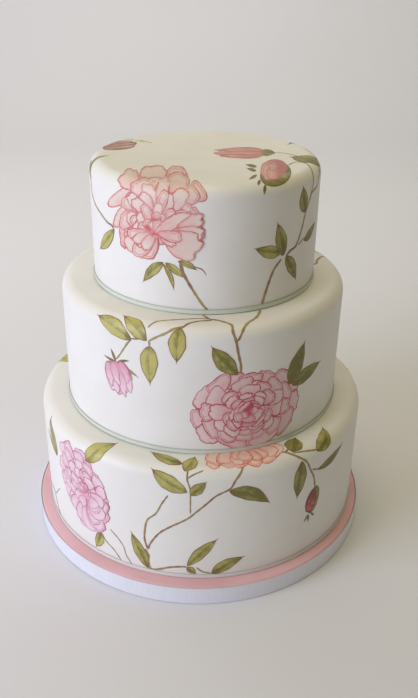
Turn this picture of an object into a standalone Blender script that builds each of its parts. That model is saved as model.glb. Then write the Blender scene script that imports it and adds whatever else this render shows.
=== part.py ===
"""A three-tier wedding cake on its iced drum board.

Three round tiers under smooth white sugar paste stand on each other, with a
narrow satin ribbon round the foot of each. The lowest stands on a drum board
that is iced pink and edged with a white satin ribbon. Nothing moves.

Units are metres, +Z is up, and the origin is the middle of the board's
underside. The front of the cake faces -Y.
"""

from math import cos, pi, sin

import bmesh
import bpy
from mathutils import Matrix, Vector

MM = 0.001

# Touching pieces keep this gap, because meshes hold 32-bit numbers.
GAP = 0.3 * MM

# Drum board: a 280 mm drum of 12 mm card, iced on top and edged with ribbon.
BOARD_RADIUS = 139.2 * MM
DRUM_HEIGHT = 12.0 * MM
DRUM_EDGE_ROUND = 0.8 * MM
BOARD_ICING_HEIGHT = 3.6 * MM
BOARD_ICING_ROUND = 1.8 * MM
BOARD_RIBBON_WIDTH = 15.0 * MM
BOARD_RIBBON_FOOT = 0.4 * MM

# Tiers: name, outer radius, height, and how far the tier was set down off the
# middle of the board, to the right and to the back.
TIERS = (
    ("bottom", 132.0 * MM, 98.1 * MM, Vector((1.1, 3.2, 0.0)) * MM),
    ("middle", 110.0 * MM, 99.2 * MM, Vector((1.3, 3.2, 0.0)) * MM),
    ("top", 85.0 * MM, 89.3 * MM, Vector((2.0, 3.2, 0.0)) * MM),
)
SHOULDER_ROUND = 9.0 * MM
FOOT_ROUND = 0.8 * MM
# The paste sinks a little towards the middle of a tier's top.
TOP_DIP = 0.5 * MM

# Narrow ribbon round the foot of each tier.
TIER_RIBBON_WIDTH = 3.4 * MM
RIBBON_THICKNESS = 0.4 * MM

# A ribbon's end is glued over its start, at the back of the cake.
LAP_LENGTH = 14.0 * MM
LAP_SINK = 0.1 * MM

ROUND_SEGMENTS = 96
SHOULDER_SEGMENTS = 6
SMALL_ROUND_SEGMENTS = 3
LAP_SEGMENTS = 4
SHARP_ANGLE = pi / 5

# Colours are linear RGB, read from the photograph's lit side.
ICING_WHITE = (0.86, 0.85, 0.82, 1.0)
ICING_PINK = (0.72, 0.36, 0.38, 1.0)
RIBBON_WHITE = (0.85, 0.85, 0.90, 1.0)
RIBBON_MINT = (0.66, 0.74, 0.68, 1.0)
DRUM_SILVER = (0.62, 0.62, 0.63, 1.0)


def clear_scene():
    """Remove the objects that the file opened with."""
    for obj in list(bpy.data.objects):
        bpy.data.objects.remove(obj, do_unlink=True)


def make_material(name, colour, roughness, metallic=0.0, sheen=0.0):
    """A Principled material of one colour."""
    material = bpy.data.materials.new(name)
    material.use_nodes = True
    shader = material.node_tree.nodes["Principled BSDF"]
    shader.inputs["Base Color"].default_value = colour
    shader.inputs["Roughness"].default_value = roughness
    shader.inputs["Metallic"].default_value = metallic
    shader.inputs["Sheen Weight"].default_value = sheen
    material.diffuse_color = colour
    return material


def quarter_round(centre_radius, centre_height, radius, start, end, segments):
    """Profile points on an arc, as (distance from the axis, height)."""
    points = []
    for step in range(segments + 1):
        angle = start + (end - start) * step / segments
        points.append(
            (
                centre_radius + radius * cos(angle),
                centre_height + radius * sin(angle),
            )
        )
    return points


def add_object(name, mesh, material, location=(0.0, 0.0, 0.0)):
    """Link a mesh as a named object with its material."""
    obj = bpy.data.objects.new(name, mesh)
    obj.location = location
    mesh.materials.append(material)
    mesh.shade_smooth()
    mesh.set_sharp_from_angle(angle=SHARP_ANGLE)
    bpy.context.scene.collection.objects.link(obj)
    return obj


def turned_mesh(name, profile, closed_profile):
    """Turn a profile about Z into a closed mesh.

    An open profile starts and ends on the axis. A closed one is a ring's
    cross-section, which stands clear of the axis.
    """
    shape = bmesh.new()
    verts = [shape.verts.new((radius, 0.0, height)) for radius, height in profile]
    edges = [shape.edges.new(pair) for pair in zip(verts, verts[1:])]
    if closed_profile:
        edges.append(shape.edges.new((verts[-1], verts[0])))
    bmesh.ops.spin(
        shape,
        geom=verts + edges,
        cent=(0.0, 0.0, 0.0),
        axis=(0.0, 0.0, 1.0),
        angle=2 * pi,
        steps=ROUND_SEGMENTS,
        use_merge=True,
    )
    bmesh.ops.remove_doubles(shape, verts=shape.verts, dist=GAP / 100)
    bmesh.ops.recalc_face_normals(shape, faces=shape.faces)
    mesh = bpy.data.meshes.new(name)
    shape.to_mesh(mesh)
    shape.free()
    return mesh


def tier_profile(radius, height):
    """Half of an iced tier's section, from the middle of its base to its top."""
    foot = quarter_round(
        radius - FOOT_ROUND, FOOT_ROUND, FOOT_ROUND, -pi / 2, 0.0, SMALL_ROUND_SEGMENTS
    )
    shoulder = quarter_round(
        radius - SHOULDER_ROUND,
        height - SHOULDER_ROUND,
        SHOULDER_ROUND,
        0.0,
        pi / 2,
        SHOULDER_SEGMENTS,
    )
    top = [(radius * 0.55, height - TOP_DIP * 0.6), (0.0, height - TOP_DIP)]
    return [(0.0, 0.0)] + foot + shoulder + top


def drum_profile():
    """Half of the card drum's section, with its foil folded over both edges."""
    lower = quarter_round(
        BOARD_RADIUS - DRUM_EDGE_ROUND,
        DRUM_EDGE_ROUND,
        DRUM_EDGE_ROUND,
        -pi / 2,
        0.0,
        SMALL_ROUND_SEGMENTS,
    )
    upper = quarter_round(
        BOARD_RADIUS - DRUM_EDGE_ROUND,
        DRUM_HEIGHT - DRUM_EDGE_ROUND,
        DRUM_EDGE_ROUND,
        0.0,
        pi / 2,
        SMALL_ROUND_SEGMENTS,
    )
    return [(0.0, 0.0)] + lower + upper + [(0.0, DRUM_HEIGHT)]


def board_icing_profile():
    """Half of the board icing's section, with its rounded upper edge."""
    edge = quarter_round(
        BOARD_RADIUS - BOARD_ICING_ROUND,
        BOARD_ICING_HEIGHT - BOARD_ICING_ROUND,
        BOARD_ICING_ROUND,
        0.0,
        pi / 2,
        SMALL_ROUND_SEGMENTS,
    )
    return [(0.0, 0.0), (BOARD_RADIUS, 0.0)] + edge + [(0.0, BOARD_ICING_HEIGHT)]


def ribbon_lap(name, inner_radius, width):
    """A short strip on the outside of a ribbon, at the back: its glued end."""
    shape = bmesh.new()
    low = inner_radius + RIBBON_THICKNESS - LAP_SINK
    high = inner_radius + 2 * RIBBON_THICKNESS
    half_turn = LAP_LENGTH / (2 * inner_radius)
    corners = ((low, 0.0), (high, 0.0), (high, width), (low, width))
    start = Matrix.Rotation(pi / 2 - half_turn, 3, "Z")
    verts = [shape.verts.new(start @ Vector((r, 0.0, z))) for r, z in corners]
    face = shape.faces.new(verts)
    bmesh.ops.spin(
        shape,
        geom=[face],
        cent=(0.0, 0.0, 0.0),
        axis=(0.0, 0.0, 1.0),
        angle=2 * half_turn,
        steps=LAP_SEGMENTS,
    )
    bmesh.ops.recalc_face_normals(shape, faces=shape.faces)
    mesh = bpy.data.meshes.new(name)
    shape.to_mesh(mesh)
    shape.free()
    return mesh


def make_ribbon(name, inner_radius, width, foot, material):
    """A ribbon round a foot or a board edge, with its lap joined on at the back."""
    section = (
        (inner_radius, 0.0),
        (inner_radius + RIBBON_THICKNESS, 0.0),
        (inner_radius + RIBBON_THICKNESS, width),
        (inner_radius, width),
    )
    ribbon = add_object(name, turned_mesh(name, section, True), material, foot)
    lap = add_object(
        name + "_lap_tool", ribbon_lap(name + "_lap", inner_radius, width), material, foot
    )
    lap.hide_render = True
    lap.display_type = "WIRE"
    join = ribbon.modifiers.new("Lap", "BOOLEAN")
    join.operation = "UNION"
    join.solver = "EXACT"
    join.object = lap
    return ribbon


def make_board(materials):
    """The drum, its pink icing and its white ribbon. Returns the height it reaches."""
    add_object(
        "board_drum",
        turned_mesh("board_drum", drum_profile(), False),
        materials["silver"],
    )
    icing_foot = DRUM_HEIGHT + GAP
    add_object(
        "board_icing",
        turned_mesh("board_icing", board_icing_profile(), False),
        materials["pink"],
        (0.0, 0.0, icing_foot),
    )
    make_ribbon(
        "board_ribbon",
        BOARD_RADIUS + GAP,
        BOARD_RIBBON_WIDTH,
        (0.0, 0.0, BOARD_RIBBON_FOOT),
        materials["ribbon_white"],
    )
    return icing_foot + BOARD_ICING_HEIGHT


def make_tiers(board_top, materials):
    """The three iced tiers, each with the ribbon round its foot."""
    below = board_top
    for name, radius, height, shift in TIERS:
        place = shift + Vector((0.0, 0.0, below + GAP))
        add_object(
            "tier_" + name,
            turned_mesh("tier_" + name, tier_profile(radius, height), False),
            materials["white"],
            place,
        )
        make_ribbon(
            "ribbon_" + name,
            radius + GAP,
            TIER_RIBBON_WIDTH,
            place,
            materials["ribbon_mint"],
        )
        below += GAP + height


def main():
    clear_scene()
    materials = {
        "white": make_material("icing_white", ICING_WHITE, 0.55),
        "pink": make_material("icing_pink", ICING_PINK, 0.6),
        "silver": make_material("drum_silver", DRUM_SILVER, 0.35, metallic=0.8),
        "ribbon_white": make_material("ribbon_white", RIBBON_WHITE, 0.35, sheen=0.3),
        "ribbon_mint": make_material("ribbon_mint", RIBBON_MINT, 0.35, sheen=0.3),
    }
    board_top = make_board(materials)
    make_tiers(board_top, materials)


main()
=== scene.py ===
"""Looks of a three-tier wedding cake: icing, ribbons, iced board and painted flowers.

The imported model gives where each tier, ribbon and board lies. Every piece here
is made in metres in that frame. Paint is laid on the icing as thin closed
films, which are drawn flat in millimetres and then wrapped on their tier.
"""

import logging
import random
from abc import ABC, abstractmethod
from dataclasses import dataclass, replace
from enum import Enum
from functools import cached_property, reduce
from math import atan2, ceil, cos, degrees, dist, exp, hypot, pi, radians, sin, sqrt, tau
from typing import ClassVar

import bmesh
import bpy
from mathutils import Matrix, Vector


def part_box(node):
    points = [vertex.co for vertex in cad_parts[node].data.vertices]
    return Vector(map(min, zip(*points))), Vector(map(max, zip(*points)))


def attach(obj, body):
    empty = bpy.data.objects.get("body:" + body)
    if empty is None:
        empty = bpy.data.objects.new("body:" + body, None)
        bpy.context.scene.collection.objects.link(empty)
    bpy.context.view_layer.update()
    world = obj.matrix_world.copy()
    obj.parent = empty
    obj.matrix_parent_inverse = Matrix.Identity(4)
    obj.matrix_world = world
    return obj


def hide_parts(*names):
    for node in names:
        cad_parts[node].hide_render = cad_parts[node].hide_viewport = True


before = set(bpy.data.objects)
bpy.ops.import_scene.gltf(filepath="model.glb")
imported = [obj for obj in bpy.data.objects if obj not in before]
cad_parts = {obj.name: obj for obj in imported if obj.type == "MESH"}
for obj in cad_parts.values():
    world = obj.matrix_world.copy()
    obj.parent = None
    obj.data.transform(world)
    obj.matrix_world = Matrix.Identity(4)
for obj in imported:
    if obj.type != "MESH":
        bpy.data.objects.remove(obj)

LOG = logging.getLogger("cake")
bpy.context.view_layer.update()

MM = 0.001
BODY = "root"

# Where the camera stands, and so where the painted front is looked at from.
EYE = Vector((0.0112, -0.57293, 0.44628))
TIER_NAMES = ("bottom", "middle", "top")
UPRIGHT = Vector((0.0, 0.0, 1.0))
ORIGIN = Vector((0.0, 0.0, 0.0))

# Names of the vertex attributes that the paint's and the ribbons' finishes read.
PLACE = "stroke_place"
TONE = "stroke_tone"
WEAVE = "ribbon_place"
PAINT_ROUGHNESS = 0.44

Colour = tuple[float, float, float]
Spot = tuple[float, float]


def clamp(value: float, low: float = 0.0, high: float = 1.0) -> float:
    """Keep a value between two limits."""
    return max(low, min(high, value))


def ease(value: float, start: float, end: float) -> float:
    """Smooth step from 0 at start to 1 at end."""
    share = clamp((value - start) / (end - start))
    return share * share * (3.0 - 2.0 * share)


class NodeSheet:
    """The node tree of one material, with a short call for each kind of node."""

    # A Mix node has a set of sockets for each kind of data: these are the colours'.
    MIX_COLOURS = (6, 7)
    MIX_RESULT = 2

    def __init__(self, name: str) -> None:
        """Start a material of that name with a bare Principled shader."""
        self.material = bpy.data.materials.new(name)
        self.material.use_nodes = True
        self.nodes = self.material.node_tree.nodes
        self.links = self.material.node_tree.links
        self.shader = self.nodes["Principled BSDF"]

    def feed(self, socket: bpy.types.NodeSocket, value: object) -> None:
        """Link a socket to another socket, or set it to a plain value.

        Args:
            socket: The input that is fed.
            value: A socket, a number, or a colour of three numbers.
        """
        if isinstance(value, bpy.types.NodeSocket):
            self.links.new(value, socket)
        elif isinstance(value, tuple) and len(value) == 3 and socket.type == "RGBA":
            socket.default_value = (*value, 1.0)
        else:
            socket.default_value = value

    def surface(self, **values: object) -> None:
        """Set inputs of the Principled shader.

        Args:
            values: A socket or a plain value for each input, named in snake case.
        """
        for name, value in values.items():
            socket = self.shader.inputs[name.replace("_", " ").title().replace("Ior", "IOR")]
            self.feed(socket, value)

    def object_place(self) -> bpy.types.NodeSocket:
        """The point on the surface, in metres, in the cake's own frame."""
        return self.nodes.new("ShaderNodeTexCoord").outputs["Object"]

    def attribute(self, name: str) -> tuple[bpy.types.NodeSocket, ...]:
        """The three numbers of a vertex attribute.

        Args:
            name: The attribute's name.

        Returns:
            Its three sockets.
        """
        node = self.nodes.new("ShaderNodeAttribute")
        node.attribute_name = name
        split = self.nodes.new("ShaderNodeSeparateXYZ")
        self.links.new(node.outputs["Vector"], split.inputs["Vector"])
        return tuple(split.outputs)

    def join(self, x: object, y: object, z: object) -> bpy.types.NodeSocket:
        """Put three numbers together as one vector.

        Args:
            x: A socket or a number.
            y: A socket or a number.
            z: A socket or a number.

        Returns:
            The vector's socket.
        """
        node = self.nodes.new("ShaderNodeCombineXYZ")
        for socket, value in zip(node.inputs, (x, y, z)):
            self.feed(socket, value)
        return node.outputs["Vector"]

    def math(self, operation: str, first: object, second: object = 0.0) -> bpy.types.NodeSocket:
        """Take one arithmetic step.

        Args:
            operation: Blender's name of the step, such as MULTIPLY.
            first: A socket or a number.
            second: A socket or a number.

        Returns:
            The step's result.
        """
        node = self.nodes.new("ShaderNodeMath")
        node.operation = operation
        self.feed(node.inputs[0], first)
        self.feed(node.inputs[1], second)
        return node.outputs[0]

    def total(self, *parts: object) -> bpy.types.NodeSocket:
        """The sum of sockets and numbers."""
        return reduce(lambda first, second: self.math("ADD", first, second), parts)

    def product(self, *parts: object) -> bpy.types.NodeSocket:
        """The product of sockets and numbers."""
        return reduce(lambda first, second: self.math("MULTIPLY", first, second), parts)

    def remap(
        self, value: object, low: object, high: object, start: float = 0.0, end: float = 1.0
    ) -> bpy.types.NodeSocket:
        """A smooth step that turns low to high into start to end.

        Args:
            value: What is turned.
            low: Where the step starts.
            high: Where it ends.
            start: The result up to low.
            end: The result from high on.

        Returns:
            The turned value.
        """
        node = self.nodes.new("ShaderNodeMapRange")
        node.interpolation_type = "SMOOTHSTEP"
        names = ("Value", "From Min", "From Max", "To Min", "To Max")
        for name, fed in zip(names, (value, low, high, start, end)):
            self.feed(node.inputs[name], fed)
        return node.outputs["Result"]

    def noise(
        self, place: bpy.types.NodeSocket, scale: float, detail: float = 2.0, rough: float = 0.5
    ) -> bpy.types.NodeSocket:
        """A soft random value, about one half on average.

        Args:
            place: Where it is read.
            scale: Grains for each unit of length.
            detail: How many finer layers it has.
            rough: How strong those layers are.

        Returns:
            The value's socket.
        """
        node = self.nodes.new("ShaderNodeTexNoise")
        self.feed(node.inputs["Vector"], place)
        node.inputs["Scale"].default_value = scale
        node.inputs["Detail"].default_value = detail
        node.inputs["Roughness"].default_value = rough
        return node.outputs[0]

    def blend(self, factor: object, first: object, second: object) -> bpy.types.NodeSocket:
        """A mix of two colours.

        Args:
            factor: 0 for the first colour, 1 for the second.
            first: A colour or a socket.
            second: A colour or a socket.

        Returns:
            The mixed colour.
        """
        node = self.nodes.new("ShaderNodeMix")
        node.data_type = "RGBA"
        self.feed(node.inputs[0], factor)
        for index, colour in zip(self.MIX_COLOURS, (first, second)):
            self.feed(node.inputs[index], colour)
        return node.outputs[self.MIX_RESULT]

    def bump(self, height: object, distance: float, strength: float) -> None:
        """Raise fine relief on the surface.

        Args:
            height: The relief, from 0 to 1.
            distance: Its depth in metres.
            strength: How much of it is used.
        """
        node = self.nodes.new("ShaderNodeBump")
        self.feed(node.inputs["Height"], height)
        node.inputs["Distance"].default_value = distance
        node.inputs["Strength"].default_value = strength
        self.links.new(node.outputs["Normal"], self.shader.inputs["Normal"])


@dataclass(frozen=True)
class IcingFinish:
    """Rolled sugar paste, smoothed by hand: even, satin, faintly clouded."""

    name: str
    base: Colour
    cloud: Colour
    roughness: float = 0.46
    subsurface: float = 0.06

    def material(self) -> bpy.types.Material:
        """Make the paste's material.

        Returns:
            The material.
        """
        sheet = NodeSheet(self.name)
        place = sheet.object_place()
        clouds = sheet.noise(place, 26.0, 3.0, 0.55)
        powder = sheet.noise(place, 900.0, 2.0, 0.6)
        tint = sheet.remap(clouds, 0.32, 0.72)
        gloss = sheet.remap(clouds, 0.25, 0.75, self.roughness - 0.05, self.roughness + 0.07)
        sheet.surface(
            base_color=sheet.blend(tint, self.base, self.cloud),
            roughness=gloss,
            subsurface_weight=self.subsurface,
            subsurface_scale=2.5 * MM,
        )
        relief = sheet.total(sheet.product(clouds, 3.0), powder)
        sheet.bump(relief, 0.05 * MM, 0.5)
        return sheet.material


@dataclass(frozen=True)
class SatinFinish:
    """Woven satin ribbon: fine threads across it, darker bands along both edges and a broad soft gloss."""

    name: str
    base: Colour
    thread: Colour
    edge: Colour
    threads_per_mm: float = 2.0
    edge_width: float = 0.4
    roughness: float = 0.36

    def material(self) -> bpy.types.Material:
        """Make the ribbon's material.

        Returns:
            The material, which reads the place on the ribbon.
        """
        sheet = NodeSheet(self.name)
        along, up, width = sheet.attribute(WEAVE)
        weft = sheet.join(sheet.product(along, self.threads_per_mm), sheet.product(up, 0.05), 0.0)
        rib = sheet.remap(sheet.noise(weft, 1.0, 3.0, 0.7), 0.36, 0.66)
        slack = sheet.noise(sheet.join(sheet.product(along, 0.06), 0.0, 0.0), 1.0)
        rim = sheet.math("MINIMUM", up, sheet.math("SUBTRACT", width, up))
        # Both edges are darker: a band of the edge colour about edge_width wide, blended in at most 0.85.
        edge_band = sheet.remap(rim, 0.6 * self.edge_width, 1.3 * self.edge_width, 0.85, 0.0)
        cloth = sheet.blend(rib, self.thread, self.base)
        sheet.surface(
            base_color=sheet.blend(edge_band, cloth, self.edge),
            roughness=sheet.remap(slack, 0.3, 0.7, self.roughness - 0.06, self.roughness + 0.08),
            sheen_weight=0.25,
            sheen_roughness=0.4,
            specular_ior_level=0.6,
        )
        sheet.bump(rib, 0.05 * MM, 0.5)
        return sheet.material


@dataclass(frozen=True)
class PetalFinish:
    """Food paint for petals: a drawn edge, a wash from the edge and the base."""

    name: str
    paper: Colour
    wash: Colour
    line: Colour
    deep: Colour
    line_width: float = 0.9

    def material(self) -> bpy.types.Material:
        """Make the paint's material.

        Returns:
            The material, which reads each film's place and tone.
        """
        sheet = NodeSheet(self.name)
        across, up, rim = sheet.attribute(PLACE)
        along, heart, chance = sheet.attribute(TONE)
        place = sheet.object_place()
        blots = sheet.noise(place, 170.0, 2.0, 0.55)
        foot = sheet.remap(along, 0.2, 0.9, 1.0, 0.0)
        # The wash: pooled inside the edge, in ribs from the foot, and a little everywhere.
        shore = sheet.remap(rim, 0.0, 3.0, 1.0, 0.0)
        vein_place = sheet.join(
            sheet.product(across, 0.9), sheet.product(up, 0.1), sheet.product(chance, 37.0)
        )
        veins = sheet.remap(sheet.noise(vein_place, 1.3, 2.0, 0.6), 0.44, 0.7)
        amount = sheet.total(
            sheet.product(shore, shore, sheet.remap(blots, 0.3, 0.7, 0.3, 0.85)),
            sheet.product(veins, sheet.product(foot, 0.4)),
            sheet.product(foot, 0.22),
            sheet.product(chance, 0.14),
        )
        colour = sheet.blend(sheet.math("MINIMUM", amount, 1.0), self.paper, self.wash)
        # The deep tone, at the foot of the petals near the flower's heart.
        glow = sheet.product(heart, foot, sheet.remap(blots, 0.25, 0.65, 0.45, 1.0))
        colour = sheet.blend(sheet.math("MINIMUM", glow, 0.95), colour, self.deep)
        # A faint second line inside the edge, on about half of the petals.
        fold = sheet.product(
            sheet.math("SUBTRACT", sheet.remap(rim, 1.4, 1.8), sheet.remap(rim, 2.1, 2.6)),
            sheet.product(sheet.remap(along, 0.4, 0.6), sheet.remap(chance, 0.5, 0.56, 0.0, 0.5)),
        )
        colour = sheet.blend(fold, colour, self.line)
        # The drawn edge, of uneven width and pressure.
        hand = sheet.noise(place, 420.0, 1.0)
        press = sheet.remap(sheet.noise(place, 75.0, 1.0), 0.36, 0.62, 0.5, 1.0)
        reach = sheet.remap(hand, 0.25, 0.75, self.line_width * 0.6, self.line_width * 1.35)
        inside = sheet.remap(sheet.math("DIVIDE", rim, reach), 0.55, 1.35)
        drawn = sheet.product(sheet.math("SUBTRACT", 1.0, inside), press)
        sheet.surface(base_color=sheet.blend(drawn, colour, self.line), roughness=PAINT_ROUGHNESS)
        return sheet.material


@dataclass(frozen=True)
class LeafFinish:
    """Food paint for leaves: olive, darker at the edge and beside the rib."""

    name: str
    light: Colour
    dark: Colour
    edge: Colour
    earth: Colour

    def material(self) -> bpy.types.Material:
        """Make the paint's material.

        Returns:
            The material, which reads each film's place and tone.
        """
        sheet = NodeSheet(self.name)
        across, up, rim = sheet.attribute(PLACE)
        along, depth, chance = sheet.attribute(TONE)
        place = sheet.object_place()
        blots = sheet.noise(place, 230.0, 3.0, 0.6)
        cloud = sheet.noise(place, 90.0, 2.0, 0.5)
        # The side veins, the midrib and the shade beside it.
        aside = sheet.math("ABSOLUTE", across)
        slant = sheet.total(sheet.product(up, 0.55), aside)
        vein_place = sheet.join(slant, sheet.product(across, 0.08), sheet.product(chance, 29.0))
        veins = sheet.remap(sheet.noise(vein_place, 0.8, 1.0), 0.42, 0.66)
        beside = sheet.math("ABSOLUTE", sheet.math("SUBTRACT", across, 0.9))
        shade = sheet.product(
            sheet.remap(beside, 0.2, 2.6, 1.0, 0.0), sheet.remap(along, 0.35, 0.85, 1.0, 0.15)
        )
        amount = sheet.total(
            sheet.product(sheet.math("SUBTRACT", depth, 0.15), 0.9),
            sheet.product(veins, 0.2),
            sheet.product(shade, 0.5),
            sheet.product(sheet.remap(aside, 0.1, 0.7, 1.0, 0.0), 0.3),
            sheet.remap(blots, 0.3, 0.7, -0.15, 0.15),
            sheet.remap(cloud, 0.35, 0.65, -0.22, 0.22),
        )
        amount = sheet.math("MINIMUM", sheet.math("MAXIMUM", amount, 0.0), 1.0)
        colour = sheet.blend(amount, self.light, self.dark)
        # The earthy base and tip.
        base = sheet.product(
            sheet.remap(along, 0.0, 0.25, 1.0, 0.0), sheet.remap(blots, 0.3, 0.7, 0.3, 0.9)
        )
        tip = sheet.remap(along, 0.8, 0.97, 0.0, 0.85)
        colour = sheet.blend(sheet.math("MAXIMUM", base, tip), colour, self.earth)
        # The drawn edge, fainter here and there.
        wander = sheet.total(rim, sheet.remap(blots, 0.3, 0.7, -0.2, 0.2))
        drawn = sheet.product(
            sheet.remap(wander, 0.3, 0.95, 1.0, 0.0), sheet.remap(cloud, 0.35, 0.6, 0.55, 1.0)
        )
        sheet.surface(base_color=sheet.blend(drawn, colour, self.edge), roughness=PAINT_ROUGHNESS)
        return sheet.material


@dataclass(frozen=True)
class StemFinish:
    """Food paint for stems: brown-olive, thinner and browner by turns."""

    name: str
    brown: Colour
    olive: Colour

    def material(self) -> bpy.types.Material:
        """Make the paint's material.

        Returns:
            The material, which reads each stroke's place.
        """
        sheet = NodeSheet(self.name)
        place = sheet.object_place()
        _, _, rim = sheet.attribute(PLACE)
        turns = sheet.remap(sheet.noise(place, 45.0, 2.0), 0.38, 0.6)
        grain = sheet.remap(sheet.noise(place, 500.0, 2.0), 0.3, 0.7, 0.0, 0.4)
        colour = sheet.blend(turns, self.brown, self.olive)
        lighter = tuple(min(1.0, 1.5 * part) for part in self.olive)
        colour = sheet.blend(grain, colour, lighter)
        drawn = sheet.remap(rim, 0.12, 0.42, 0.85, 0.0)
        sheet.surface(base_color=sheet.blend(drawn, colour, self.brown), roughness=0.46)
        return sheet.material


@dataclass(frozen=True)
class CardFinish:
    """Silver foil paper over thick card, lightly embossed."""

    name: str = "drum_foil"
    base: Colour = (0.6, 0.6, 0.61)

    def material(self) -> bpy.types.Material:
        """Make the foil's material.

        Returns:
            The material.
        """
        sheet = NodeSheet(self.name)
        place = sheet.object_place()
        emboss = sheet.noise(place, 420.0, 1.0)
        scuffs = sheet.noise(place, 60.0, 4.0, 0.65)
        dull = tuple(0.82 * part for part in self.base)
        sheet.surface(
            base_color=sheet.blend(sheet.remap(scuffs, 0.4, 0.7), self.base, dull),
            roughness=sheet.remap(scuffs, 0.3, 0.7, 0.28, 0.46),
            metallic=0.85,
        )
        sheet.bump(emboss, 0.12 * MM, 0.7)
        return sheet.material


def add_object(
    name: str, shape: bmesh.types.BMesh, material: bpy.types.Material
) -> bpy.types.Object:
    """Turn a finished shape into a smooth object of the scene.

    Args:
        name: The object's name.
        shape: Its geometry in metres, which is freed.
        material: Its finish.

    Returns:
        The new object.
    """
    mesh = bpy.data.meshes.new(name)
    shape.to_mesh(mesh)
    shape.free()
    mesh.materials.append(material)
    mesh.shade_smooth()
    made = bpy.data.objects.new(name, mesh)
    bpy.context.scene.collection.objects.link(made)
    return made


def add_piece(
    name: str,
    shape: bmesh.types.BMesh,
    material: bpy.types.Material,
    sharp: float = 50.0,
) -> bpy.types.Object:
    """Turn a finished shape into a piece of the cake that rides on its body.

    Args:
        name: The piece's name.
        shape: Its geometry in metres, which is freed.
        material: Its finish.
        sharp: Faces that meet at more than this many degrees keep a sharp edge.

    Returns:
        The new object.
    """
    piece = add_object(name, shape, material)
    piece.data.set_sharp_from_angle(angle=radians(sharp))
    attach(piece, BODY)
    LOG.info("%s: %d faces", name, len(piece.data.polygons))
    return piece


def spin(shape: bmesh.types.BMesh, geometry: list, angle: float, steps: int) -> None:
    """Sweep geometry about Z.

    Args:
        shape: The shape that it is part of.
        geometry: What is swept.
        angle: How far, in radians. A whole turn is closed.
        steps: How many steps the sweep has.
    """
    bmesh.ops.spin(
        shape,
        geom=geometry,
        cent=ORIGIN,
        axis=UPRIGHT,
        angle=angle,
        steps=steps,
        use_merge=angle >= tau,
    )


def turn_profile(
    shape: bmesh.types.BMesh,
    profile: list[Spot],
    steps: int,
    closed: bool = False,
    weld: float = 0.002 * MM,
) -> None:
    """Spin a profile of (radius, height) points about Z into a closed body.

    Args:
        shape: Where the body is made. It is empty before.
        profile: The points, from the axis back to the axis, or round a ring's section.
        steps: How many steps the turn has.
        closed: True for a ring's section, which is joined end to end.
        weld: Points nearer than this are made one, such as those on the axis.
    """
    chain = [shape.verts.new((radius, 0.0, height)) for radius, height in profile]
    edges = [shape.edges.new(pair) for pair in zip(chain, chain[1:])]
    if closed:
        edges.append(shape.edges.new((chain[-1], chain[0])))
    spin(shape, chain + edges, tau, steps)
    bmesh.ops.remove_doubles(shape, verts=shape.verts, dist=weld)
    bmesh.ops.recalc_face_normals(shape, faces=shape.faces)


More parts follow.
